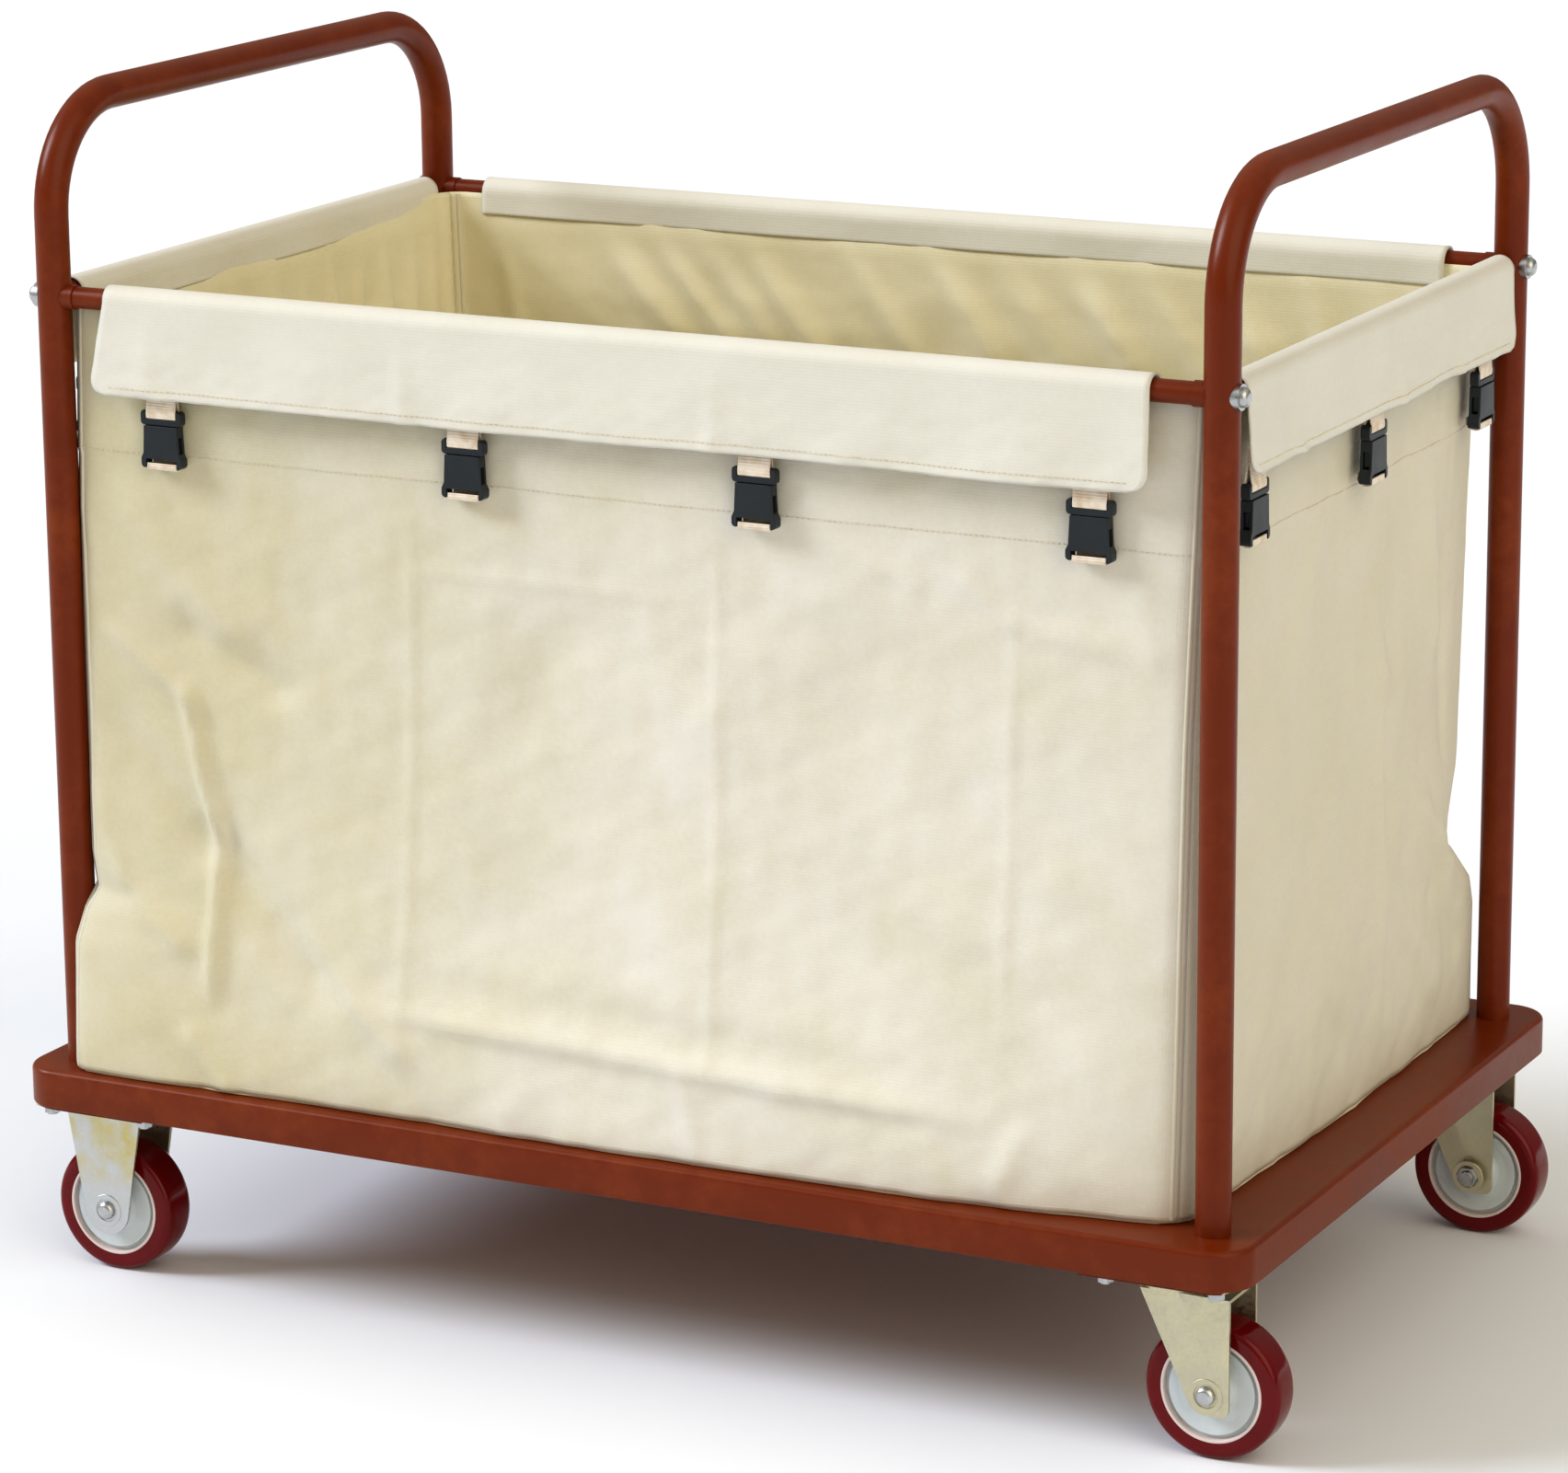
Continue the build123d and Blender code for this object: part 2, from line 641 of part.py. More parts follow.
def write_castors():
    fixings, rigid_axles, kingpins = [], [], []
    for end, plate_x, trail in (("left", rigid_x, 0), ("right", swivel_x, swivel_trail)):
        for row, sy in (("front", -1), ("back", 1)):
            name = f"{row}_{end}"
            spot = Pos(plate_x, sy * castor_y, 0)
            wheel_spot = Pos(plate_x + trail, sy * castor_y, axle_z)
            outward = wheel_spot * Rot(0, 0, 0 if sy < 0 else 180)
            fixings += [spot * piece for piece in castor_fixings()]
            save(f"{name}_tyre", wheel_spot * tyre())
            save(f"{name}_wheel_core", wheel_spot * wheel_core())
            save(f"{name}_bearings", [wheel_spot * piece for piece in wheel_bearings()])
            axle_pieces = [outward * piece for piece in axle()]
            if end == "left":
                save(f"{name}_bracket", spot * rigid_bracket())
                rigid_axles += axle_pieces
            else:
                save(f"{name}_swivel_plate", spot * swivel_plate())
                save(f"{name}_fork", spot * swivel_fork())
                save(f"{name}_ball_ring", [spot * piece for piece in ball_ring()])
                save(f"{name}_axle", axle_pieces)
                kingpins.append(spot * kingpin())
    save("castor_fixings", fixings)
    save("rigid_axles", rigid_axles)
    save("kingpins", kingpins)


write_frame()
write_bag()
write_castors()
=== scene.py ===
"""Housekeeping cart: the looks of a steel linen trolley with a canvas bag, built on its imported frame.

Lengths are in metres. The origin is on the floor under the deck's centre, +X points along the cart
towards the swivel castors and -Y is the front.
"""

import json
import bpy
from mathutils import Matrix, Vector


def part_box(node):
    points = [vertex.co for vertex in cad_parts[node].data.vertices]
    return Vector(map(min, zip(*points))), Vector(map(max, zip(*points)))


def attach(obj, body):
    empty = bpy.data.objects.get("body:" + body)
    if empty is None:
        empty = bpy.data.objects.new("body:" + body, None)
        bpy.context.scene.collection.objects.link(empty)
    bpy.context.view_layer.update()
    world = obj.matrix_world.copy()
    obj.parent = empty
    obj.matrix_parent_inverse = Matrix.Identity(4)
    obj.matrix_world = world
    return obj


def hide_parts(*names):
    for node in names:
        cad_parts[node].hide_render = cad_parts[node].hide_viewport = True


bl_info = {
    "name": "Housekeeping Cart",
    "version": (1, 0, 0),
    "blender": (4, 5, 0),
    "location": "3D View > Sidebar > Cart",
    "description": "Builds the cart's coated steel, canvas bag, flaps, buckles and castors on its frame",
    "category": "Object",
}

import bmesh
import bpy
import numpy as np
from bpy.props import FloatProperty, FloatVectorProperty, IntProperty, PointerProperty
from mathutils import Matrix, Vector

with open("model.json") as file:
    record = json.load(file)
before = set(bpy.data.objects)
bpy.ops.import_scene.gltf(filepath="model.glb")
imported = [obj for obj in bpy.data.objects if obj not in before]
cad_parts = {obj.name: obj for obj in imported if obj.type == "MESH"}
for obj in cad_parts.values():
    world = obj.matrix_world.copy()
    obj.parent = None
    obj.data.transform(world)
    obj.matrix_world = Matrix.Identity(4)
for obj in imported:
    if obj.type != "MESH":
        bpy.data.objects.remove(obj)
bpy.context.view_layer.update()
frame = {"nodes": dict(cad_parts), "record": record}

MM = 0.001


def linear(code):
    """An sRGB hex colour as linear red, green and blue."""
    parts = np.array([int(code[i:i + 2], 16) for i in (1, 3, 5)]) / 255
    return tuple(np.where(parts > 0.04045, ((parts + 0.055) / 1.055) ** 2.4, parts / 12.92))


def spot(node):
    """Lowest corner, highest corner and middle of a frame node."""
    low, high = (np.array(corner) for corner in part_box(node))
    return low, high, (low + high) / 2


def rail_of(side):
    """The rail or cross tube that carries a side of the bag."""
    return f"{side}_rail" if side in ("front", "back") else f"{side}_cross_tube"


def body_of(node):
    """The body that a frame node belongs to."""
    return next(body for body, names in frame["record"]["behaviour"]["bodies"].items() if node in names)


# ------------------------------------------------------------------ settings
def size(name, description, default, **more):
    """A length that can be set in the panel."""
    return FloatProperty(name=name, description=description, default=default, unit="LENGTH", **more)


def colour(name, description, code):
    """A colour that can be set in the panel, from its sRGB hex code."""
    return FloatVectorProperty(name=name, description=description, default=linear(code), subtype="COLOR",
                               min=0.0, max=1.0)


class CartSteelSettings(bpy.types.PropertyGroup):
    """The coated steelwork."""

    coat: colour("Coat", "Colour of the powder coat", "#6C2908")
    coat_worn: colour("Worn coat", "Colour of the coat where it is rubbed", "#86401A")
    deck_round: size("Deck edge round", "Radius along the deck's top edge", 4 * MM)
    deck_corner: size("Deck corner", "Radius of the deck's corners seen from above", 30 * MM)
    deck_sheet: size("Deck sheet", "Thickness of the deck's sheet", 2 * MM)
    hoop_bend: size("Hoop bend", "Radius of the hoops' bends at their middle line", 80 * MM)
    peel: size("Orange peel", "Spacing of the ripples in the coat, drawn coarser than the real 2 mm", 3 * MM)


class CartBagSettings(bpy.types.PropertyGroup):
    """The canvas bag and its flaps."""

    # Painted light: the front canvas is lighter and less yellow than the side walls' canvas, standing in for the
    # light that falls on the front.
    front: colour("Front", "Colour of the canvas on the front, bleached by the sun", "#DBD7CC")
    outside: colour("Outside", "Colour of the canvas outside", "#D4CFBE")
    # Painted light: the inside canvas is lighter than the outside canvas, standing in for light that the shaded
    # inside of the bag lacks.
    inside: colour("Inside", "Colour of the canvas inside", "#E2DBBE")
    # Painted light: the flaps' canvas is lighter than the walls' canvas, standing in for the extra light that the
    # tilted flaps catch.
    flap: colour("Flap", "Colour of the flaps, bleached by handling", "#DAD8CE")
    facing: colour("Facing", "Colour of the flaps' inside edge", "#E2DABC")
    cloth: size("Cloth", "Thickness of the doubled canvas", 1.8 * MM)
    thread_gap: size("Thread gap", "Spacing of the weave, drawn coarser than the real 0.6 mm", 2.2 * MM)
    thread: size("Thread", "Radius of the sewing thread", 0.45 * MM)
    piping: size("Piping", "Radius of the corded corner seams", 1.9 * MM)
    stitch: size("Stitch", "Length of one stitch with its gap", 4.2 * MM)
    seam_drop: size("Seam drop", "Height of the sewn line below the rails", 114 * MM)
    facing_depth: size("Facing depth", "How far the flaps reach down inside", 17 * MM)
    flare: size("Flare", "How far the front flap's left end spreads at its hem", 14 * MM)
    hem_stand: size("Hem stand-off", "How far the hems stand out from the rail", 3.2 * MM)
    seed: IntProperty(name="Seed", description="Picks the pattern of small creases", default=11)


class CartBuckleSettings(bpy.types.PropertyGroup):
    """The side-release buckles and their webbing."""

    plastic: colour("Plastic", "Colour of the buckles", "#24292C")
    webbing: colour("Webbing", "Colour of the webbing", "#EADFD0")
    webbing_edge: colour("Webbing edge", "Colour of the webbing's cut and turned edges", "#C9AE8C")
    webbing_width: size("Webbing width", "Width of the webbing", 25 * MM)
    rib: size("Rib", "Spacing of the webbing's ribs", 2.0 * MM)
    ply: size("Ply", "Thickness of the webbing", 1.3 * MM)
    edge: size("Edge", "Width of the bevel on the buckles' edges", 0.7 * MM)
    tab_rise: size("Tab rise", "Height of a tab above its buckle's joint", 42 * MM)


class CartCastorSettings(bpy.types.PropertyGroup):
    """The castors."""

    tyre: colour("Tyre", "Colour of the polyurethane tyre", "#5C0509")
    disc: colour("Disc", "Colour of the nylon wheel disc", "#D3DBE0")
    rim: colour("Rim", "Colour of the pale ring beside the tyre", "#D2C4BF")
    zinc: colour("Zinc", "Colour of the bright zinc plate", "#C9CBCC")
    passivate: colour("Passivate", "Yellow tint on the zinc of the pressed steel", "#C8B866")
    axle_head: size("Axle head", "Depth of the axles' domed heads", 4.5 * MM)
    boss_inner: size("Boss inside", "Inner radius of the pressed ring round an axle", 8.5 * MM)
    boss_outer: size("Boss outside", "Outer radius of the pressed ring round an axle", 12.5 * MM)
    boss_rise: size("Boss rise", "How far the pressed ring stands out", 0.7 * MM)
    core: size("Core", "Radius of the nylon wheel inside its tyre", 37.5 * MM)
    rim_depth: size("Rim depth", "Radial depth of the pale ring", 2.3 * MM)
    groove_width: size("Groove width", "Radial width of the groove inside the pale ring", 3.3 * MM)
    shoulder: size("Shoulder", "Radius of the tyre's shoulders", 6 * MM)


class CartStageSettings(bpy.types.PropertyGroup):
    """Floor, lights and camera."""

    floor: colour("Floor", "Colour of the floor", "#ECF0F8")
    sky: FloatProperty(name="Sky", description="Strength of the light from all round", default=0.37, min=0.0)
    key: FloatProperty(name="Key", description="Strength of the main light", default=2.3, min=0.0)
    fill: FloatProperty(name="Fill", description="Fill light as a share of the main one", default=0.48, min=0.0)
    lens: FloatProperty(name="Lens", description="Focal length in millimetres", default=131.02, min=1.0)


# ------------------------------------------------------------------ meshes
def quads(rows, columns, around, along):
    """Corner numbers of a grid's faces; the grid may close around its columns or along its rows."""
    i, j = np.meshgrid(np.arange(rows - (not along)), np.arange(columns - (not around)), indexing="ij")
    right, up = (j + 1) % columns, (i + 1) % rows
    corners = [i * columns + j, i * columns + right, up * columns + right, up * columns + j]
    return np.stack(corners, -1).reshape(-1, 4)


def link(mesh, materials):
    """An object for a mesh, in the scene, with its materials."""
    piece = bpy.data.objects.new(mesh.name, mesh)
    bpy.context.scene.collection.objects.link(piece)
    for material in materials:
        mesh.materials.append(material)
    return piece


def seat(piece, body, nodes=()):
    """Gives a piece its body and hides the frame nodes that it stands for."""
    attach(piece, body)
    if nodes:
        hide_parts(*nodes)
    return piece


def smooth(mesh, angle=35):
    """Smooth shading with sharp edges where faces meet at more than an angle in degrees."""
    mesh.shade_smooth()
    mesh.set_sharp_from_angle(angle=np.radians(angle))


def close(mesh, merge=True):
    """Merges doubled points and turns the faces outwards."""
    shell = bmesh.new()
    shell.from_mesh(mesh)
    if merge:
        bmesh.ops.remove_doubles(shell, verts=shell.verts, dist=0.002 * MM)
    bmesh.ops.recalc_face_normals(shell, faces=shell.faces)
    shell.to_mesh(mesh)
    shell.free()


def skin(name, grids, materials, caps=(), closed=True, angle=35, uv=None):
    """One mesh from grids of points: each is (points, around, along). caps are rings that get one flat
    face. A closed shape has its doubled points merged and its faces turned outwards."""
    points, faces, start = [], [], 0
    for grid, around, along in grids:
        rows, columns = grid.shape[:2]
        points.append(grid.reshape(-1, 3))
        faces += (quads(rows, columns, around, along) + start).tolist()
        start += rows * columns
    for ring in caps:
        points.append(ring)
        faces.append(list(range(start, start + len(ring))))
        start += len(ring)
    mesh = bpy.data.meshes.new(name)
    mesh.from_pydata(np.concatenate(points), [], faces)
    if uv is not None:
        layer = mesh.uv_layers.new(name="UVMap")
        corners = np.zeros(len(mesh.loops), np.int32)
        mesh.loops.foreach_get("vertex_index", corners)
        layer.data.foreach_set("uv", uv.reshape(-1, 2)[corners].ravel())
    if closed:
        close(mesh)
    smooth(mesh, angle)
    return link(mesh, materials)


def turned_copy(name, nodes, material, edge=0.4 * MM):
    """A merged copy of frame nodes whose edges are broken by a small bevel."""
    shell = bmesh.new()
    for node in nodes:
        shell.from_mesh(frame["nodes"][node].data)
    bmesh.ops.remove_doubles(shell, verts=shell.verts, dist=0.005 * MM)
    bmesh.ops.dissolve_limit(shell, angle_limit=np.radians(0.5), verts=shell.verts, edges=shell.edges)
    mesh = bpy.data.meshes.new(name)
    shell.to_mesh(mesh)
    shell.free()
    mesh.materials.clear()
    smooth(mesh)
    piece = link(mesh, [material])
    if edge:
        break_edges(piece, edge)
    return piece


def break_edges(piece, width):
    """A small bevel on every sharp edge."""
    bevel = piece.modifiers.new("Broken edges", "BEVEL")
    bevel.width, bevel.segments, bevel.limit_method = width, 2, "ANGLE"
    bevel.angle_limit = np.radians(40)
    bevel.harden_normals = True


def thicken(piece, thickness, inner_slot):
    """Cloth thickness on both sides of a sheet; its back takes the material in inner_slot."""
    solid = piece.modifiers.new("Cloth", "SOLIDIFY")
    solid.thickness, solid.offset, solid.material_offset = thickness, 0, inner_slot
    solid.use_even_offset = False


def lathe(profile, centre, axis, steps=96):
    """Radius and distance along an axis, carried round the axis in equal steps."""
    radius, reach = np.asarray(profile, float).T[:, :, None]
    turn = np.linspace(0, 2 * np.pi, steps, endpoint=False)
    first, second = (axis + 1) % 3, (axis + 2) % 3
    grid = np.zeros((len(radius), steps, 3))
    grid[..., axis] = reach
    grid[..., first] = radius * np.cos(turn)
    grid[..., second] = radius * np.sin(turn)
    return grid + np.asarray(centre)


def rounded(points, radius, steps=6):
    """A closed outline whose corners become arcs: each arc is a quadratic curve through its corner."""
    points = np.asarray(points, float)
    radius = np.broadcast_to(radius, len(points))[:, None]
    back, ahead = np.roll(points, 1, 0) - points, np.roll(points, -1, 0) - points
    one = points + back / np.linalg.norm(back, axis=1, keepdims=True) * radius
    two = points + ahead / np.linalg.norm(ahead, axis=1, keepdims=True) * radius
    t = np.linspace(0, 1, steps)[None, :, None]
    arc = (1 - t) ** 2 * one[:, None] + 2 * t * (1 - t) * points[:, None] + t ** 2 * two[:, None]
    return arc.reshape(-1, 2)


def sweep(path, side, radius, steps=24):
    """A round tube along a flat path: each ring lies across the path, turned from the side direction."""
    run = np.gradient(path, axis=0)
    run /= np.linalg.norm(run, axis=1, keepdims=True)
    across = np.cross(run, side)
    turn = np.linspace(0, 2 * np.pi, steps, endpoint=False)[None, :, None]
    return path[:, None] + radius * (np.cos(turn) * np.asarray(side) + np.sin(turn) * across[:, None])


def strap(path, middle, along, width, thickness):
    """Flat webbing: a rounded rectangle carried along a path of (outward, height), spread along a side."""
    path = np.asarray(path, float)
    run = np.gradient(path, axis=0)
    run /= np.linalg.norm(run, axis=1, keepdims=True)
    face = np.stack([run[:, 1], -run[:, 0]], 1)
    outline = rounded([(-width / 2, -thickness / 2), (width / 2, -thickness / 2),
                       (width / 2, thickness / 2), (-width / 2, thickness / 2)], thickness * 0.45, 4)
    across = np.linspace(-1, 1, 9)[:, None] * [[width / 2 - thickness / 2, 0]]
    outline = np.concatenate([across - [0, thickness / 2], outline[4:12], across[::-1] + [0, thickness / 2],
                              outline[12:], outline[:4]])
    flat = path[:, None] + face[:, None] * outline[None, :, 1:]
    outward = np.array([along[1], -along[0], 0])
    return (np.asarray(middle) + outline[None, :, :1] * np.asarray(along)
            + flat[..., :1] * outward + flat[..., 1:] * np.array([0, 0, 1]))


# ------------------------------------------------------------------ finishes
def dress(tree, node, values):
    """Sets or links a node's inputs."""
    for name, value in dict(values).items():
        if isinstance(value, bpy.types.NodeSocket):
            tree.links.new(value, node.inputs[name])
        else:
            node.inputs[name].default_value = value


def add(tree, kind, settings=(), inputs=()):
    """Adds a node, sets its settings, and sets or links its inputs."""
    made = tree.nodes.new(kind)
    for name, value in dict(settings).items():
        setattr(made, name, value)
    dress(tree, made, inputs)
    return made


def new_finish(name):
    """An empty material: its tree, its shader and a place in the object."""
    material = bpy.data.materials.new(name)
    material.use_nodes = True
    tree = material.node_tree
    tree.nodes.clear()
    shader = add(tree, "ShaderNodeBsdfPrincipled")
    add(tree, "ShaderNodeOutputMaterial", (), {"Surface": shader.outputs["BSDF"]})
    place = add(tree, "ShaderNodeTexCoord")
    return material, tree, shader, place


def four(rgb):
    """A colour with full opacity."""
    return (*rgb, 1.0)


def noise(tree, place, scale, detail=2.0, **more):
    """Fractal noise from 0 to 1 over a place, its scale in waves per metre."""
    texture = add(tree, "ShaderNodeTexNoise", (), {"Vector": place, "Scale": scale, "Detail": detail, **more})
    return texture.outputs["Fac"]


def remap(tree, value, start, end, low, high, **settings):
    """A value carried from the range start to end into the range low to high."""
    ranges = {"Value": value, "From Min": start, "From Max": end, "To Min": low, "To Max": high}
    return add(tree, "ShaderNodeMapRange", settings, ranges).outputs[0]


def combine(tree, operation, *values):
    """Two or three values put through one sum or product."""
    return add(tree, "ShaderNodeMath", {"operation": operation}, enumerate(values)).outputs[0]


def blend(tree, share, base, other):
    """Base colour where the share is 0, the other colour where it is 1."""
    inputs = {0: share, 6: four(base), 7: four(other)}
    return add(tree, "ShaderNodeMix", {"data_type": "RGBA"}, inputs).outputs[2]


def relief(tree, height, strength, distance, **more):
    """A bumped normal from a height that spans the distance."""
    inputs = {"Height": height, "Strength": strength, "Distance": distance, **more}
    return add(tree, "ShaderNodeBump", (), inputs).outputs[0]


def weave_waves(tree, place, direction, gap, **more):
    """Ribs across a direction, a gap apart."""
    inputs = {"Vector": place, "Scale": np.pi / (10 * gap), **more}
    settings = {"wave_type": "BANDS", "bands_direction": direction}
    return add(tree, "ShaderNodeTexWave", settings, inputs).outputs["Fac"]


def satin_powder_coat(name, base, worn, peel):
    """Polyester powder coat, sprayed and stoved: an even satin skin with faint orange peel that is
    lighter and duller where linen and hands rub it."""
    material, tree, shader, place = new_finish(name)
    here = place.outputs["Object"]
    ripple = noise(tree, here, 1 / peel)
    cloud = noise(tree, here, 9.0, 4.0)
    rub = noise(tree, here, 55.0, 6.0, Roughness=0.7)
    both = combine(tree, "MULTIPLY", cloud, rub)
    dress(tree, shader, {"Base Color": blend(tree, remap(tree, both, 0.2, 0.42, 0.0, 0.55), base, worn),
                         "Roughness": remap(tree, both, 0.15, 0.45, 0.3, 0.46), "IOR": 1.5,
                         "Specular IOR Level": 0.22, "Normal": relief(tree, ripple, 0.25, 0.3 * MM)})
    return material


def cotton_canvas(name, base, shade, gap, painted_left_shade=0.0):
    """Plain-woven cotton canvas, washed and folded for packing: matt, with a fine square weave, soft
    crumples between its creases and thread-to-thread differences in colour. It can take painted shade
    towards the cart's left end, where more of the shade colour is blended in to stand in for shade."""
    material, tree, shader, place = new_finish(name)
    here = place.outputs["Object"]
    waves = [weave_waves(tree, place.outputs["UV"], direction, gap, Distortion=1.2, Detail=2.0,
                         **{"Detail Scale": 0.4}) for direction in "XY"]
    weave = combine(tree, "MULTIPLY", *waves)
    crumple = noise(tree, here, 13.0, 4.0, Roughness=0.5)
    tone = combine(tree, "MULTIPLY_ADD", noise(tree, here, 240.0, 3.0), 0.35, crumple)
    share = remap(tree, tone, 0.5, 0.9, 0.0, 0.28)
    along = add(tree, "ShaderNodeSeparateXYZ", (), {0: here}).outputs["X"]
    # Painted shade: the share of the shade colour grows towards the cart's left end (-X), a darker khaki standing in
    # for shade there.
    worn = remap(tree, along, 0.05, -0.42, 0.0, painted_left_shade, interpolation_type="SMOOTHSTEP")
    tint = blend(tree, combine(tree, "ADD", share, worn), base, shade)
    bump = relief(tree, weave, 0.5, 0.2 * MM, Normal=relief(tree, crumple, 0.5, 4 * MM))
    dress(tree, shader, {"Base Color": tint, "Roughness": 0.62, "IOR": 1.45, "Sheen Weight": 0.2,
                         "Sheen Roughness": 0.5, "Normal": bump})
    return material


def woven_webbing(name, base, edge, rib):
    """Cotton webbing with ribs across it, slightly soiled: matt, with a rib shadow at every pick."""
    material, tree, shader, place = new_finish(name)
    here = place.outputs["Object"]
    ribs = weave_waves(tree, here, "Z", rib, Distortion=0.6, Detail=1.0)
    share = remap(tree, noise(tree, here, 110.0, 4.0), 0.4, 0.75, 0.0, 0.8)
    dress(tree, shader, {"Base Color": blend(tree, share, base, edge), "Roughness": 0.85, "IOR": 1.45,
                         "Sheen Weight": 0.2, "Normal": relief(tree, ribs, 0.6, 0.35 * MM)})
    return material


def moulded_plastic(name, base, lighter, roughness, grain):
    """Moulded acetal, nylon or polyurethane: smooth with a fine mould grain, faint flow clouds and
    handling marks that change its gloss."""
    material, tree, shader, place = new_finish(name)
    here = place.outputs["Object"]
    fine = noise(tree, here, 1 / grain)
    flow = noise(tree, here, 40.0, 5.0, Distortion=0.6)
    gloss = remap(tree, flow, 0.3, 0.7, roughness * 0.85, min(1.0, roughness * 1.3))
    dress(tree, shader, {"Base Color": blend(tree, flow, base, lighter), "Roughness": gloss, "IOR": 1.5,
                         "Specular IOR Level": 0.26, "Normal": relief(tree, fine, 0.2, 0.1 * MM)})
    return material


def zinc_plate(name, base, tint_to, roughness, tinted, clear_below=-1.0):
    """Zinc-plated pressed steel with a clear or yellow passivate: bright, cloudy, with rolling marks
    and dull spots. Below a height the tint is washed out."""
    material, tree, shader, place = new_finish(name)
    here = place.outputs["Object"]
    marks = noise(tree, here, 420.0, 3.0)
    share = remap(tree, noise(tree, here, 45.0, 4.0), 0.35, 0.7, 0.0, tinted)
    height = add(tree, "ShaderNodeSeparateXYZ", (), {0: here}).outputs["Z"]
    upper = remap(tree, height, clear_below - 5 * MM, clear_below + 9 * MM, 0.0, 1.0)
    tint = blend(tree, combine(tree, "MULTIPLY", share, upper), base, tint_to)
    dull = remap(tree, marks, 0.3, 0.7, roughness * 0.8, roughness * 1.35)
    dress(tree, shader, {"Base Color": tint, "Metallic": 1.0, "Roughness": dull,
                         "Normal": relief(tree, marks, 0.15, 0.1 * MM)})
    return material


def finishes():
    """Every finish of the cart by name, made once."""
    if not finishes.made:
        steel, bag = bpy.context.scene.cart_steel, bpy.context.scene.cart_bag
        buckle, castor = bpy.context.scene.cart_buckle, bpy.context.scene.cart_castor
        grey = linear("#8F9294")
        finishes.made = {
            "coat": satin_powder_coat("red_brown_powder_coat", steel.coat, steel.coat_worn, steel.peel),
            # The 0.5 is painted shade: the front's shade colour blended in towards the cart's left end.
            # The front canvas is painted light: lighter than the side walls for the light that falls on the front.
            "front": cotton_canvas("front_canvas_painted_light", bag.front, linear("#BFB587"), bag.thread_gap, 0.5),
            "outside": cotton_canvas("cream_canvas", bag.outside, linear("#C6BD9A"), bag.thread_gap),
            # The inside canvas is painted light: lighter than the outside to make up for the shade inside the bag.
            "inside": cotton_canvas("khaki_canvas_painted_light", bag.inside, linear("#CDC190"), bag.thread_gap),
            # The flap canvas is painted light: lighter than the walls for the light that the tilted flaps catch.
            "flap": cotton_canvas("flap_canvas_painted_light", bag.flap, linear("#C8C2B0"), bag.thread_gap),
            "facing": cotton_canvas("pale_khaki_facing", bag.facing, linear("#CFC6A2"), bag.thread_gap),
            "thread": woven_webbing("sewing_thread", linear("#DDD2BC"), linear("#B9AC90"), 1.2 * MM),
            "webbing": woven_webbing("cream_webbing", buckle.webbing, buckle.webbing_edge, buckle.rib),
            "acetal": moulded_plastic("black_acetal", buckle.plastic, linear("#30363A"), 0.36, 0.8 * MM),
            "tyre": moulded_plastic("red_polyurethane", castor.tyre, linear("#6E090E"), 0.12, 2 * MM),
            "disc": moulded_plastic("grey_nylon", castor.disc, linear("#BCC2C1"), 0.35, 1.5 * MM),
            "rim": moulded_plastic("pale_nylon", castor.rim, linear("#E2D2D0"), 0.45, 1.5 * MM),
            "zinc": zinc_plate("bright_zinc", castor.zinc, grey, 0.3, 0.6),
            "pressed": zinc_plate("passivated_zinc", castor.zinc, castor.passivate, 0.34, 0.9, 72 * MM),
            "fork": zinc_plate("pale_passivated_zinc", linear("#C9C5AE"), linear("#D6CFB0"), 0.42, 0.8),
            "bearing": zinc_plate("ground_steel", linear("#B4B6B9"), linear("#86888B"), 0.22, 0.5),
        }
    return finishes.made


finishes.made = {}


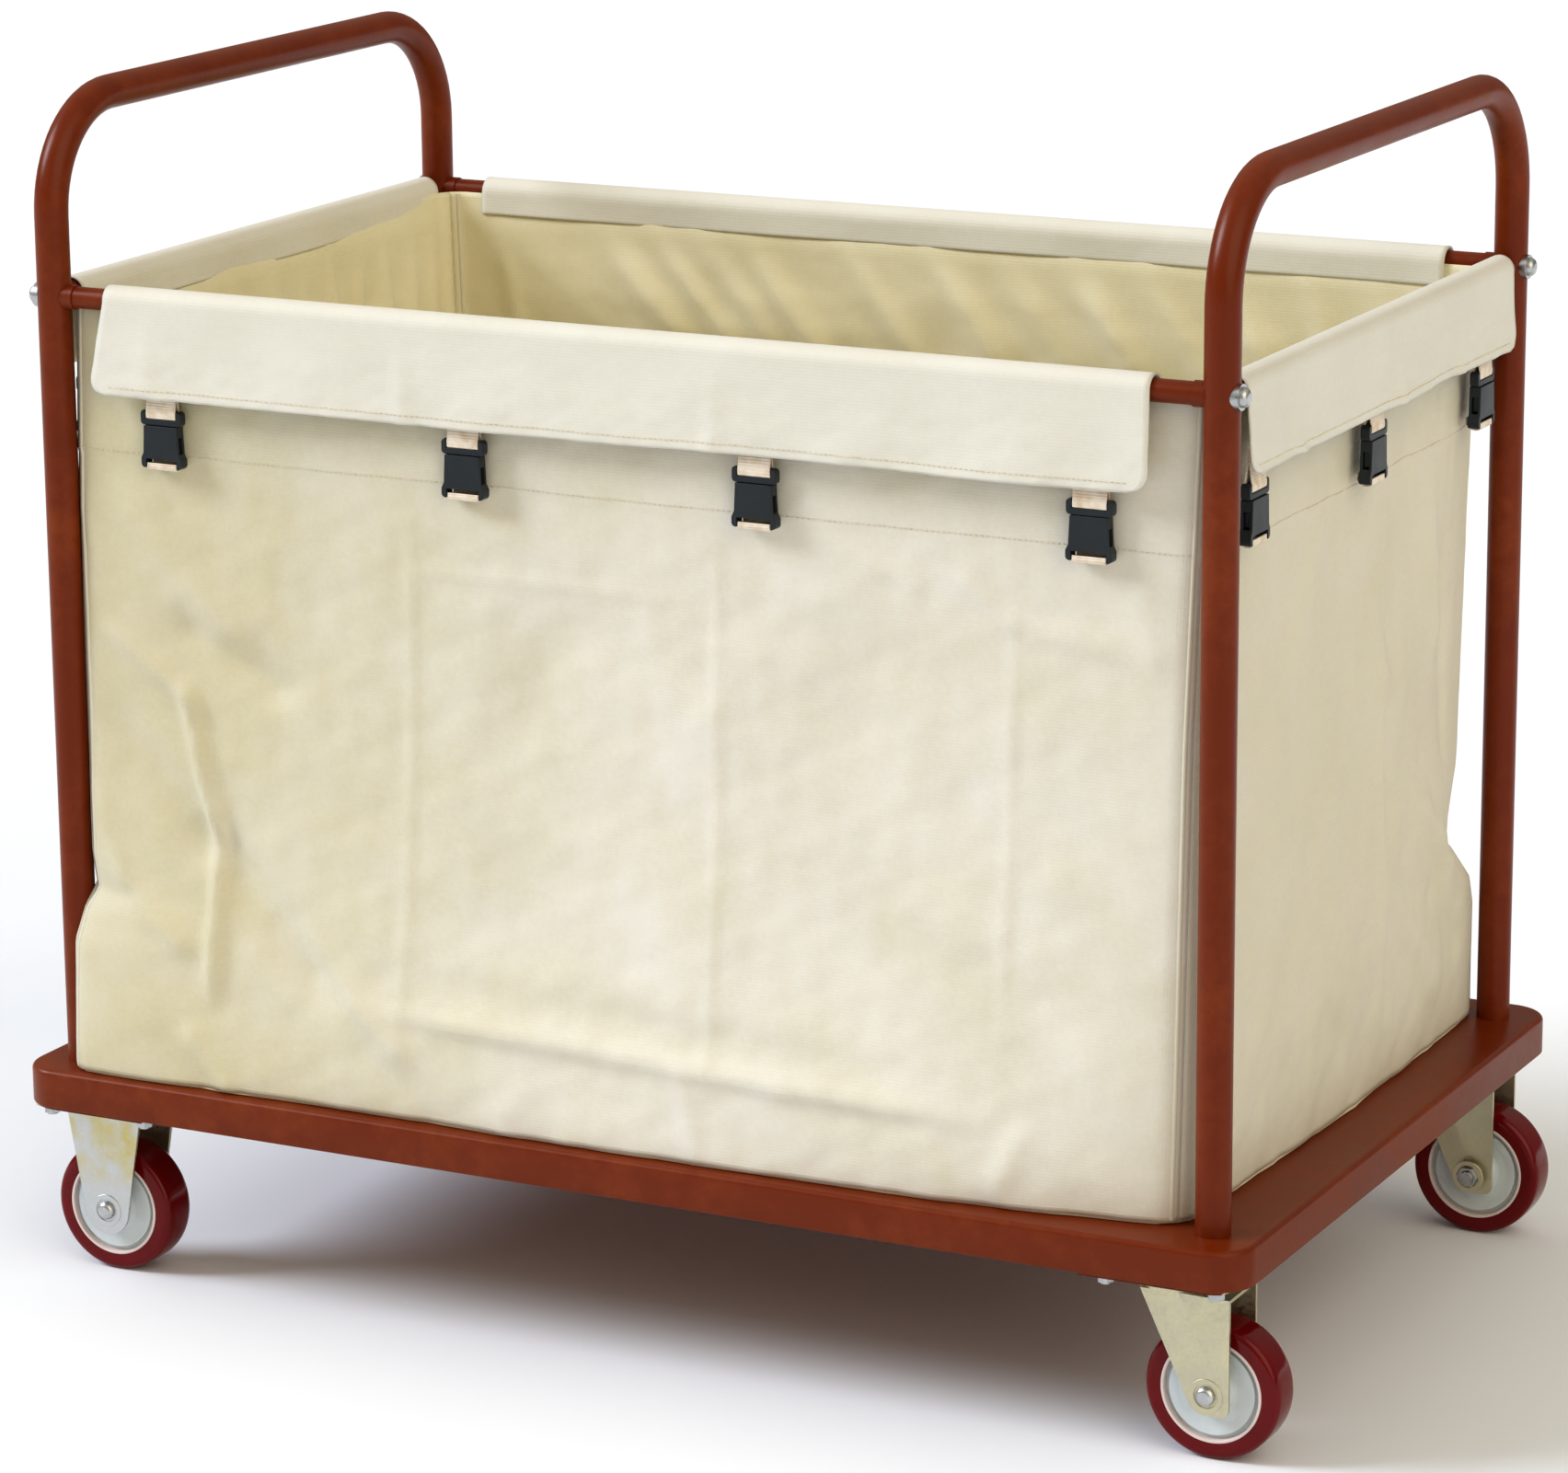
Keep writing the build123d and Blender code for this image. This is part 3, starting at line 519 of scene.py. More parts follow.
# ------------------------------------------------------------------ steelwork
class CART_OT_steelwork(bpy.types.Operator):
    """Build the deck, hoops, rails and their fixings"""

    bl_idname = "cart.steelwork"
    bl_label = "Steelwork"

    def execute(self, context):
        coat, zinc = finishes()["coat"], finishes()["zinc"]
        self.deck(context.scene.cart_steel, coat)
        for side in ("left", "right"):
            self.hoop(side, coat)
            self.tube(f"{side}_cross_tube", 1, 1 * MM, coat)
            node = f"{side}_castor_channel"
            seat(turned_copy(f"{side}_channel_coated", [node], coat), "chassis", [node])
        for row in ("front", "back"):
            self.tube(f"{row}_rail", 0, 0, coat)
        for node, material, slot in (("rail_end_fittings", coat, "powder_coat"),
                                     ("rail_bolts", zinc, "zinc_plate"),
                                     ("leg_fixings", zinc, "zinc_plate")):
            seat(turned_copy(f"{node}_plated", [node], material, 0.3 * MM), "chassis", [node])
        return {"FINISHED"}

    def deck(self, settings, coat):
        """A pan: its wall's section, from inside the skirt round the top edge, carried round the outline."""
        low, high, middle = spot("deck")
        half = (high - low) / 2
        corner, sheet, edge = settings.deck_corner, settings.deck_sheet, settings.deck_round
        turn = np.linspace(0, np.pi / 2, 13)
        arcs = [turn + quarter * np.pi / 2 for quarter in range(4)]
        signs = [(1, 1), (-1, 1), (-1, -1), (1, -1)]
        core = np.concatenate([np.tile((sx * (half[0] - corner), sy * (half[1] - corner)), (13, 1))
                               for sx, sy in signs])
        out = np.concatenate([np.stack([np.cos(arc), np.sin(arc)], 1) for arc in arcs])
        bend = np.linspace(0, np.pi / 2, 7)
        lip = np.linspace(0, np.pi, 7)
        section = [(sheet, high[2] - sheet)]
        section += [(sheet / 2 * (1 + np.cos(a)), low[2] + sheet / 2 * (1 - np.sin(a))) for a in lip]
        section += [(edge - edge * np.cos(a), high[2] - edge + edge * np.sin(a)) for a in bend]
        section = np.array(section)
        flat = core[None] + out[None] * (corner - section[:, None, :1])
        height = np.broadcast_to(section[:, None, 1:], (*flat.shape[:2], 1))
        grid = np.concatenate([flat, height], 2) + [middle[0], middle[1], 0]
        deck = skin("coated_deck", [(grid, True, False)], [coat], caps=(grid[0], grid[-1]))
        seat(deck, "chassis", ["deck"])

    def hoop(self, side, coat):
        """A bent tube: up one leg, round two bends and down the other leg."""
        node = f"{side}_hoop"
        low, high, middle = spot(node)
        radius, bend = (high[0] - low[0]) / 2, bpy.context.scene.cart_steel.hoop_bend
        reach, top = (high[1] - low[1]) / 2 - radius, high[2] - radius
        turn = np.linspace(0, np.pi / 2, 17)
        leg = np.linspace(low[2], top - bend, 12, endpoint=False)
        one = np.stack([0 * leg - reach, leg], 1)
        two = np.stack([-reach + bend - bend * np.cos(turn), top - bend + bend * np.sin(turn)], 1)
        half = np.concatenate([one, two])
        flat = np.concatenate([half, (half * [-1, 1])[::-1]])
        path = np.stack([0 * flat[:, 0] + middle[0], flat[:, 0] + middle[1], flat[:, 1]], 1)
        grid = sweep(path, (1, 0, 0), radius, 36)
        hoop = skin(f"{side}_bent_tube", [(grid, True, False)], [coat], caps=(grid[0], grid[-1]))
        seat(hoop, "chassis", [node])

    def tube(self, node, axis, short, coat):
        """A straight tube with closed ends along an axis, each end short of the node's by a little."""
        low, high, middle = spot(node)
        radius, reach = (high[2] - low[2]) / 2, (high[axis] - low[axis]) / 2 - short
        profile = [(0, -reach), (radius, -reach), (radius, reach), (0, reach)]
        tube = skin(f"{node}_tube", [(lathe(profile, middle, axis, 40), True, False)], [coat])
        seat(tube, "chassis", [node])


# ------------------------------------------------------------------ bag
def step(low, high, value):
    """Rises smoothly from 0 at low to 1 at high."""
    share = np.clip((value - low) / (high - low), 0, 1)
    return share * share * (3 - 2 * share)


def fold(a, z, start, end, height, width):
    """A ridge along a line between two places on a wall: highest on the line, falling off like a bell
    across it and smoothly to nothing at its ends."""
    start, end = np.array(start) * MM, np.array(end) * MM
    run = end - start
    length = np.hypot(*run)
    along = ((a - start[0]) * run[0] + (z - start[1]) * run[1]) / length ** 2
    off = ((a - start[0]) * run[1] - (z - start[1]) * run[0]) / length
    ends = step(-0.02, 0.22, along) * (1 - step(0.78, 1.02, along))
    return height * MM * ends * np.exp(-(off / (width * MM)) ** 2)


def ripple(a, z, seed, height, longest):
    """Small creases: a sum of sine waves in random directions, the longer ones higher."""
    pick = np.random.default_rng(seed)
    total = 0 * a
    for number in range(14):
        wave = 2 * np.pi / (longest * MM * 0.84 ** number)
        way = pick.uniform(0, np.pi)
        phase = pick.uniform(0, 2 * np.pi)
        along, across = a * np.cos(way) + z * np.sin(way), a * np.sin(way) - z * np.cos(way)
        bend = 0.6 * np.sin(wave * across / 2.3 + phase)
        total = total + 0.9 ** number * np.sin(wave * along + phase + bend)
    return height * MM * total / 3


def swell(z, height, level, spread):
    """A bulge in millimetres, highest at a level and falling off like a bell above and below it."""
    return height * MM * np.exp(-((z - level) / spread) ** 2)


# Folds of each wall as (start, end, height, width), with places as (along X or Y, height) in millimetres.
FRONT_FOLDS = [
    ((-165, 640), (-167, 190), 1.7, 5), ((80, 640), (82, 200), 1.7, 5), ((308, 620), (306, 250), 1.5, 5),
    ((-42, 600), (-42, 250), -5.0, 75), ((194, 600), (194, 240), -5.0, 70), ((-175, 568), (60, 566), 1.4, 5),
    ((-215, 246), (310, 226), 6.0, 8), ((-190, 270), (300, 250), -2.5, 12), ((-430, 512), (-338, 446), 8.2, 8),
    ((-356, 470), (-326, 345), 9.0, 7), ((-329, 385), (-325, 225), 8.2, 7), ((-375, 520), (-255, 455), -6.8, 14),
    ((-436, 452), (-325, 340), -9.0, 17), ((-350, 370), (-215, 235), -9.8, 19), ((-260, 300), (-150, 200), 6.0, 12),
    ((-415, 620), (-300, 480), 7.5, 19), ((-438, 600), (-415, 540), 4.5, 7), ((-436, 395), (-404, 300), 6.8, 8),
    ((-438, 335), (-335, 262), 7.5, 10), ((-350, 215), (-305, 160), 4.5, 8), ((262, 608), (315, 566), 3.4, 7),
    ((300, 575), (425, 560), 3.0, 10), ((330, 420), (425, 320), 3.0, 20), ((350, 300), (430, 215), 3.6, 14),
    ((120, 560), (40, 420), 2.4, 20), ((-20, 560), (-110, 420), -2.4, 20), ((150, 470), (290, 330), 2.6, 24),
    ((-140, 626), (-60, 585), 2.4, 9), ((170, 620), (245, 590), 2.2, 9), ((60, 240), (75, 160), 2.4, 9),
    ((330, 230), (300, 165), 2.6, 10), ((-60, 215), (-90, 160), 2.2, 12), ((395, 630), (418, 540), 3.6, 9),
]
RIGHT_FOLDS = [
    ((30, 560), (75, 450), 4.0, 12), ((140, 600), (180, 470), 4.5, 12), ((-180, 560), (-120, 430), 2.6, 16),
    ((-240, 420), (-200, 250), 2.6, 12), ((60, 640), (62, 200), 1.5, 5), ((-230, 400), (220, 396), 1.2, 5),
    ((120, 380), (240, 285), 6.0, 14), ((150, 300), (235, 225), -5.0, 16), ((-100, 330), (20, 220), 2.8, 18),
    ((60, 330), (200, 190), 3.4, 16), ((190, 560), (205, 360), -4.0, 16), ((-60, 640), (-110, 520), 2.6, 14),
]
BACK_FOLDS = [
    ((-340, 765), (-205, 620), -11.2, 13), ((-285, 760), (-165, 620), -8.8, 9), ((-240, 760), (-120, 610), -7.5, 12),
    ((-200, 765), (-85, 610), -10.0, 12), ((-110, 760), (0, 610), -6.2, 10), ((-35, 765), (65, 620), -10.0, 12),
    ((30, 760), (120, 620), -6.2, 14), ((85, 765), (180, 620), -9.4, 12), ((150, 760), (250, 600), -6.2, 12),
    ((210, 760), (310, 600), -8.8, 14), ((290, 760), (340, 620), -6.2, 10), ((345, 760), (400, 620), -6.2, 12),
    ((-405, 760), (-375, 600), -6.2, 10), ((-165, 640), (-167, 200), 1.7, 5), ((80, 640), (82, 200), 1.7, 5),
    ((-380, 470), (300, 466), 1.5, 5), ((-250, 600), (-60, 560), 3.0, 14),
]
LEFT_FOLDS = [
    ((-230, 760), (-236, 590), -6.2, 9), ((-175, 760), (-165, 590), -6.2, 8), ((-120, 760), (-128, 590), -6.2, 8),
    ((-60, 760), (-58, 590), -5.0, 8), ((-2, 765), (-2, 560), -6.2, 9), ((40, 760), (46, 600), -5.0, 7),
    ((80, 760), (84, 600), -6.9, 7), ((125, 760), (122, 600), -5.6, 7), ((160, 760), (165, 590), -6.9, 8),
    ((205, 760), (200, 590), -5.6, 8), ((240, 760), (236, 590), -5.0, 8), ((-40, 520), (60, 380), 3.0, 16),
    ((-180, 400), (-90, 250), 3.0, 16),
]
# Each wall: the axis that it runs along, the sign of that run anticlockwise seen from above, its
# folds, and the corners where it starts and ends.
WALLS = {"front": (0, 1, FRONT_FOLDS, ("front_left", "front_right")),
         "right": (1, 1, RIGHT_FOLDS, ("front_right", "back_right")),
         "back": (0, -1, BACK_FOLDS, ("back_right", "back_left")),
         "left": (1, -1, LEFT_FOLDS, ("back_left", "front_left"))}
# How far each corner is pulled out of place, as (height, along X, along Y) in millimetres, and how
# far along the walls the pull is felt.
CORNER_PULLS = {
    "front_left": (75, [(165, -15, -13), (262, -13, -12), (288, -8, -6), (303, -1, 1), (330, -3, -2),
                        (600, -6, -3), (745, -4, -1)]),
    "front_right": (190, [(165, -7, 15), (300, -5, 9), (500, -4, 3), (745, 0, 0)]),
    "back_right": (60, [(165, -3, 0), (255, -3, -1), (275, -4, -6), (305, -8, -36), (320, -12, -54),
                        (335, -11, -36), (370, -9, -26), (450, -8, -20), (650, -5, -15), (745, 0, 0)]),
    "back_left": (70, [(165, 4, -4), (400, 8, -8), (745, 4, 0)]),
}


# The bag's outline in millimetres: the half sizes of its foot, how far they grow up to the rails, and
# the radius of its upright corners.
BAG_FOOT, BAG_LEAN, BAG_CORNER = (442, 289), (6.7, -22.3), 21
# Levels in metres: where the folds die out under the flaps, where the walls stay close behind the
# buckles, and where the back and left walls draw in to clear them.
FOLDS_END, BUCKLE_ZONE, DRAW_IN, DRAW_OUT = (0.665, 0.728), (0.6, 0.64), (0.6, 0.66), (0.72, 0.745)


def pull(corner, z):
    """A corner's displacement at each height, along X and Y."""
    heights, along_x, along_y = np.array(CORNER_PULLS[corner][1]).T * MM
    return np.interp(z, heights, along_x), np.interp(z, heights, along_y)


def bag_point(wall, along, z, seed):
    """The bag's middle surface: a wall between two half corners, leaning in towards the rails, with
    its bulge, folds and creases added outwards and its corners pulled out of place. along runs from
    -1 to 1 between the corner seams, anticlockwise seen from above, and z is the height."""
    low, high, _ = spot("bag_body")
    axis, sign, folds, ends = WALLS[wall]
    share = (z - low[2]) / (high[2] - low[2])
    corner = BAG_CORNER * MM
    half = [(foot + lean * share) * MM for foot, lean in zip(BAG_FOOT, BAG_LEAN)]
    straight = half[axis] - corner
    reach = along * (straight + corner * np.pi / 4)
    turn = np.clip(np.abs(reach) - straight, 0, None) / corner * np.sign(reach)
    run = sign * (np.clip(reach, -straight, straight) + corner * np.sin(turn))
    out = half[1 - axis] - corner + corner * np.cos(turn)
    loose = 1 - step(*FOLDS_END, z)
    bulge = swell(z, 5, 0.26, 0.1) - swell(z, 3, 0.5, 0.12)
    if wall == "front":
        bulge = bulge + swell(z, 12, 0.165, 0.11)
    bulge = bulge + sum(fold(run, z, *line) for line in folds) * (0.06 + 0.94 * loose)
    bulge = bulge + ripple(run, z, seed + axis + sign, 1.6, 210) * (0.1 + 0.9 * loose)
    bulge = np.minimum(bulge, 2 * MM + 20 * MM * (1 - step(*BUCKLE_ZONE, z)))
    if wall in ("back", "left"):
        bulge = bulge - 5 * MM * step(*DRAW_IN, z) * (1 - step(*DRAW_OUT, z))
    bulge = bulge * (1 - np.abs(along) ** 8)
    seam = bpy.context.scene.cart_bag.seam_drop
    bulge = bulge + 0.9 * MM * step(seam + 1.5 * MM, seam - 1.5 * MM, high[2] - z)
    out = (out + bulge * np.cos(turn)) * (-sign if axis == 0 else sign)
    run = run + sign * bulge * np.sin(turn)
    moves = [0.0, 0.0]
    for end, name in zip((-1, 1), ends):
        away = (1 - end * along) * half[axis] / (CORNER_PULLS[name][0] * MM)
        felt = np.exp(-away ** 2)
        moves = [move + felt * one for move, one in zip(moves, pull(name, z))]
    ragged = 0.4 * MM if wall == "front" else 1 * MM
    hem = 1.3 + np.sin(run * 37 + axis) + 0.4 * np.sin(run * 91)
    lift = np.exp(-(z - low[2]) / (9 * MM)) * hem * ragged
    point = np.zeros((*np.broadcast(along, z).shape, 3))
    point[..., axis] = run + moves[axis]
    point[..., 1 - axis] = out + moves[1 - axis]
    point[..., 2] = z + np.clip(lift, 0, None)
    return point


class CART_OT_bag(bpy.types.Operator):
    """Build the bag's four walls and its floor"""

    bl_idname = "cart.bag"
    bl_label = "Bag"

    def execute(self, context):
        settings, made = context.scene.cart_bag, finishes()
        low, high, _ = spot("bag_body")
        bottom = low[2] + settings.cloth / 2 + 0.2 * MM
        for wall, (axis, _, _, _) in WALLS.items():
            along = np.linspace(-1, 1, 211 if axis == 0 else 141)[None, :]
            z = np.linspace(bottom, high[2] - 0.4 * MM, 131)[:, None]
            points = bag_point(wall, along + 0 * z, z + 0 * along, settings.seed)
            width, rail = high[axis] - low[axis], rail_of(wall)
            uv = np.stack([along * width / 2 + 0 * z, z + 0 * along], -1)
            outer = made["front" if wall == "front" else "outside"]
            panel = skin(f"bag_{wall}_wall", [(points, False, False)], [outer, made["inside"]],
                         closed=False, angle=80, uv=uv)
            thicken(panel, settings.cloth, 1)
            seat(panel, "chassis", ["bag_body"] if wall == "front" else ())
        self.floor(settings, made, bottom)
        return {"FINISHED"}

    def floor(self, settings, made, bottom):
        """The floor lies on the deck: the walls' lowest line drawn in to the middle, slightly quilted."""
        ring = np.concatenate([bag_point(wall, np.linspace(-1, 1, 61)[:-1], np.full(60, bottom),
                                         settings.seed) for wall in WALLS])
        share = np.linspace(1, 0.0, 30)[:, None, None]
        points = ring[None] * share
        wave = ripple(points[..., 0], points[..., 1], settings.seed, 0.5, 160)
        points[..., 2] = bottom + np.abs(wave) * (1 - share[..., 0] ** 6)
        floor = skin("bag_floor_panel", [(points, True, False)], [made["inside"]], angle=80)
        thicken(floor, settings.cloth * 0.8, 0)
        seat(floor, "chassis")


# ------------------------------------------------------------------ flaps
# Each flap: the axis that it runs along and the side of the cart that it faces; the places of its
# creases along that axis in millimetres; the radii at which it leaves the rail inside and outside;
# the radius of its lower corners; and how far down it the hem is sewn, as a share of its length.
FLAP_SIDES = {"front": (0, -1), "right": (1, 1), "back": (0, 1), "left": (1, -1)}
FLAP_CREASES = {"front": (-370, -162, 85), "right": (-170, 20, 150), "back": (-165, 80), "left": (-2,)}
FOLD_INSIDE, FOLD_OUTSIDE = 11.6 * MM, 9.5 * MM
FLAP_CORNER = 14 * MM
HEM_LINE = 0.945


def flap_point(side, share, down, settings):
    """A flap folded over its rail. down runs from 0 at the inside edge to 1 at the hem: up inside the
    wall, round the rail on an arc that tightens outwards, and down to the hem, which stands off.
    share runs from -1 to 1 along the flap and its lower corners are rounded."""
    low, high, middle = spot(f"{side}_flap")
    axis, sign = FLAP_SIDES[side]
    _, _, centre = spot(rail_of(side))
    length, depth = high[axis] - low[axis], centre[2] - low[2]
    inner, outer, facing = FOLD_INSIDE, FOLD_OUTSIDE, settings.facing_depth
    arc = np.pi * (inner + outer) / 2
    total = facing + arc + depth
    s, a = down * total, share * length / 2
    over = np.clip((s - facing) / arc, 0, 1)
    angle = np.pi * (1 - over)
    radius = inner + (outer - inner) * over
    drop = np.clip(s - facing - arc, 0, None)
    rise = np.clip(facing - s, 0, None)
    z = centre[2] + radius * np.sin(angle) - drop - rise
    out = radius * np.cos(angle)
    hang = drop / depth
    sharp = sum(np.exp(-((a - place * MM) / (7 * MM)) ** 2) for place in FLAP_CREASES[side])
    sway = 1 + 0.45 * np.sin(a * 21 + 1.3) + 0.25 * np.sin(a * 47)
    out = out + hang ** 1.4 * settings.hem_stand * sway
    out = out + hang * (2.2 * MM * sharp + ripple(a, z, settings.seed + 3 + axis * sign, 1.1, 120))
    out = out - rise / facing * 0.8 * MM * (1 + np.sin(a * 33))
    lift = np.maximum(0, drop - (depth - FLAP_CORNER)) / FLAP_CORNER
    inset = FLAP_CORNER * (1 - np.sqrt(np.clip(1 - lift ** 2, 0, 1)))
    a = a * (1 - inset / (length / 2))
    z = z + hang * 0.7 * MM * np.sin(a * 15 + axis)
    if side == "front":
        a = a - settings.flare * hang * step(-0.33, -0.41, a)
    point = np.zeros((*a.shape, 3))
    point[..., axis] = a + middle[axis]
    point[..., 1 - axis] = centre[1 - axis] + sign * out
    point[..., 2] = z
    return point, total


class CART_OT_flaps(bpy.types.Operator):
    """Build the four flaps that fold over the rails"""

    bl_idname = "cart.flaps"
    bl_label = "Flaps"

    def execute(self, context):
        settings, made = context.scene.cart_bag, finishes()
        for side in FLAP_SIDES:
            low, high, _ = spot(f"{side}_flap")
            axis, sign = FLAP_SIDES[side]
            length, rail = high[axis] - low[axis], rail_of(side)
            share = np.linspace(-1, 1, int(length / (4.5 * MM)))[None, :]
            down = np.linspace(0, 1, 49)[:, None]
            points, total = flap_point(side, share + 0 * down, down + 0 * share, settings)
            if (axis == 0) == (sign < 0):
                points = points[::-1]
            uv = np.stack([share * length / 2 + 0 * down, down * total + 0 * share], -1)
            flap = skin(f"{side}_flap_cloth", [(points, False, False)], [made["flap"], made["facing"]],
                        closed=False, angle=80, uv=uv)
            thicken(flap, settings.cloth, 1)
            seat(flap, "chassis", [f"{side}_flap"])
        return {"FINISHED"}


# ------------------------------------------------------------------ buckles
# Each side's buckles: the direction along the side, with outwards on its right, the buckles' middle
# plane across it, and how far the wall lies behind that plane, both in millimetres.
BUCKLE_SIDES = {"front": ((1, 0, 0), -279.5, 5.0), "right": ((0, 1, 0), 461.5, 7.5),
                "back": ((-1, 0, 0), 279.5, 5.0), "left": ((0, -1, 0), -461.5, 7.5)}


def buckle_place(node, rise):
    """Middle of a buckle at its joint line, the direction along its side and the wall's depth."""
    _, high, middle = spot(node)
    along, plane, wall = BUCKLE_SIDES[node.split("_")[0]]
    place = np.array([middle[0], middle[1], high[2] - rise])
    place[0 if along[1] else 1] = plane * MM
    return place, np.array(along), wall * MM


class CART_OT_buckles(bpy.types.Operator):
    """Build the side-release buckles and their webbing"""

    bl_idname = "cart.buckles"
    bl_label = "Buckles"

    def execute(self, context):
        settings, made = context.scene.cart_buckle, finishes()
        bodies = turned_copy("buckle_cases", ["buckle_bodies"], made["acetal"], settings.edge)
        seat(bodies, "chassis", ["buckle_bodies"])
        loops = []
        for node in sorted(node for node in frame["nodes"] if "_tongue_" in node):
            place, along, wall = buckle_place(node, settings.tab_rise)
            self.head(node, settings, made["acetal"])
            self.tab(node, place, along, settings, made["webbing"])
            loops.append((self.loop(place, along, wall, settings), True, False))
        caps = [ring for grid, _, _ in loops for ring in (grid[0], grid[-1])]
        strap_loops = skin("buckle_loops", loops, [made["webbing"]], caps=caps)
        seat(strap_loops, "chassis", ["webbing_loops"])
        return {"FINISHED"}

    def head(self, node, settings, acetal):
        """The plastic of a tongue without its webbing, which is the loose part that reaches highest."""
        piece = turned_copy(f"{node}_head", [node], acetal, 0)
        for other in bpy.context.selected_objects:
            other.select_set(False)
        bpy.context.view_layer.objects.active = piece
        piece.select_set(True)
        bpy.ops.mesh.separate(type="LOOSE")
        parts = list(bpy.context.selected_objects)
        head, webbing = sorted(parts, key=lambda part: max(corner[2] for corner in part.bound_box))
        bpy.data.objects.remove(webbing)
        head.name = head.data.name = f"{node}_head"
        break_edges(head, settings.edge)
        seat(head, node, [node])

    def tab(self, node, place, along, settings, webbing):
        """Webbing that goes round the head's bar and up behind the flap in two close plies."""
        bar, rise = 11.3 * MM, settings.tab_rise
        turn = np.linspace(0, np.pi, 9)
        wrap = np.stack([2.9 * MM * np.cos(turn), bar - 5.2 * MM - 1.0 * MM * np.sin(turn)], 1)
        front = np.array([(0.4 * MM, rise - 2 * MM), (0.8 * MM, 24 * MM), (2.0 * MM, 15 * MM),
                          (2.9 * MM, bar - 2 * MM), (2.9 * MM, bar - 4 * MM)])
        back = (front * [-1, 1])[::-1]
        path = np.concatenate([front, wrap[1:-1], back])
        grid = strap(path, place, along, settings.webbing_width, settings.ply)
        tab = skin(f"{node}_tab", [(grid, True, False)], [webbing], caps=(grid[0], grid[-1]))
        seat(tab, node)

    def loop(self, place, along, wall, settings):
        """Webbing from the wall down behind the case, under its bar and up through its slot."""
        bottom = -31 * MM
        turn = np.linspace(0, np.pi, 9)
        wrap = np.stack([-3.4 * MM * np.cos(turn), bottom - 1.2 * MM * np.sin(turn)], 1)
        path = np.concatenate([[(-wall, -24 * MM), (-wall, bottom + 2 * MM), (-3.9 * MM, bottom + 0.4 * MM)],
                               wrap[1:], [(3.2 * MM, bottom + 3.6 * MM)]])
        return strap(path, place, along, settings.webbing_width, settings.ply)


# ------------------------------------------------------------------ stitching
def beads(start, end, radius):
    """Sewn stitches: each is a small six-sided bead between two places, thin at its ends."""
    shape = np.array([0.35, 0.9, 1.0, 0.9, 0.35])
    place = np.array([0.0, 0.15, 0.5, 0.85, 1.0])
    run = end - start
    length = np.linalg.norm(run, axis=1, keepdims=True)
    run = run / length
    side = np.cross(run, [0.0, 0.0, 1.0])
    side = np.where(np.linalg.norm(side, axis=1, keepdims=True) < 0.3, [[0.0, 1.0, 0.0]], side)
    side /= np.linalg.norm(side, axis=1, keepdims=True)
    other = np.cross(run, side)
    turn = np.linspace(0, 2 * np.pi, 6, endpoint=False)
    middle = start[:, None] + place[None, :, None] * (end - start)[:, None]
    ring = np.cos(turn)[:, None] * side[:, None, None] + np.sin(turn)[:, None] * other[:, None, None]
    return middle[:, :, None] + radius * shape[None, :, None, None] * ring


def sew(name, line, radius, material):
    """One mesh of stitches along a line of places, one between each place and the next."""
    bead = beads(line[:-1] * 0.88 + line[1:] * 0.12, line[:-1] * 0.12 + line[1:] * 0.88, radius)
    count, rows, columns = bead.shape[:3]
    face = quads(rows, columns, True, False)
    start = np.arange(count)[:, None, None] * rows * columns
    ends = np.stack([np.arange(columns), (rows - 1) * columns + np.arange(columns)[::-1]])
    sides = (face[None] + start).reshape(-1, 4)
    ends = (ends[None] + start).reshape(-1, columns)
    mesh = bpy.data.meshes.new(name)
    mesh.from_pydata(bead.reshape(-1, 3), [], sides.tolist() + ends.tolist())
    close(mesh, merge=False)
    smooth(mesh, 60)
    return seat(link(mesh, [material]), "chassis")


def piping(name, wall, along, settings, material):
    """A corded seam up the bag: a thin tube carried along a line of the wall."""
    low, high, _ = spot("bag_body")
    z = np.linspace(low[2] + 3 * MM, high[2] - 2 * MM, 140)
    path = bag_point(wall, np.full(140, along), z, settings.seed)
    grid = sweep(path, (1, 0, 0), settings.piping, 8)
    cord = skin(name, [(grid, True, False)], [material], caps=(grid[0], grid[-1]), angle=60)
    return seat(cord, "chassis")


class CART_OT_stitching(bpy.types.Operator):
    """Sew the seam round the bag, the hems and the corner seams"""

    bl_idname = "cart.stitching"
    bl_label = "Stitching"

    def execute(self, context):
        settings, thread = context.scene.cart_bag, finishes()["thread"]
        low, high, _ = spot("bag_body")
        proud = settings.cloth / 2 + 0.1 * MM
        canvas = finishes()["outside"]
        for name, wall, along in (("front_right", "front", 0.988), ("front_left", "front", -0.985),
                                  ("back_right", "right", 0.98), ("back_left", "back", 0.985)):
            piping(f"{name}_corner_piping", wall, along, settings, canvas)
        level = high[2] - settings.seam_drop + 3 * MM
        for wall, (axis, sign, _, _) in WALLS.items():
            length = high[axis] - low[axis]
            along = np.linspace(-0.985, 0.985, int(length / settings.stitch))
            line = bag_point(wall, along, np.full(len(along), level), settings.seed)
            outward = np.zeros(3)
            outward[1 - axis] = (-sign if axis == 0 else sign) * proud
            sew(f"{wall}_wall_stitches", line + outward, settings.thread, thread)
        for side, (axis, sign) in FLAP_SIDES.items():
            low, high, _ = spot(f"{side}_flap")
            length = high[axis] - low[axis]
            share = np.linspace(-0.97, 0.97, int(length / settings.stitch))
            outward = np.zeros(3)
            outward[1 - axis] = sign * proud
            line = flap_point(side, share, np.full(len(share), HEM_LINE), settings)[0]
            sew(f"{side}_flap_stitches", line + outward, settings.thread, thread)
        return {"FINISHED"}


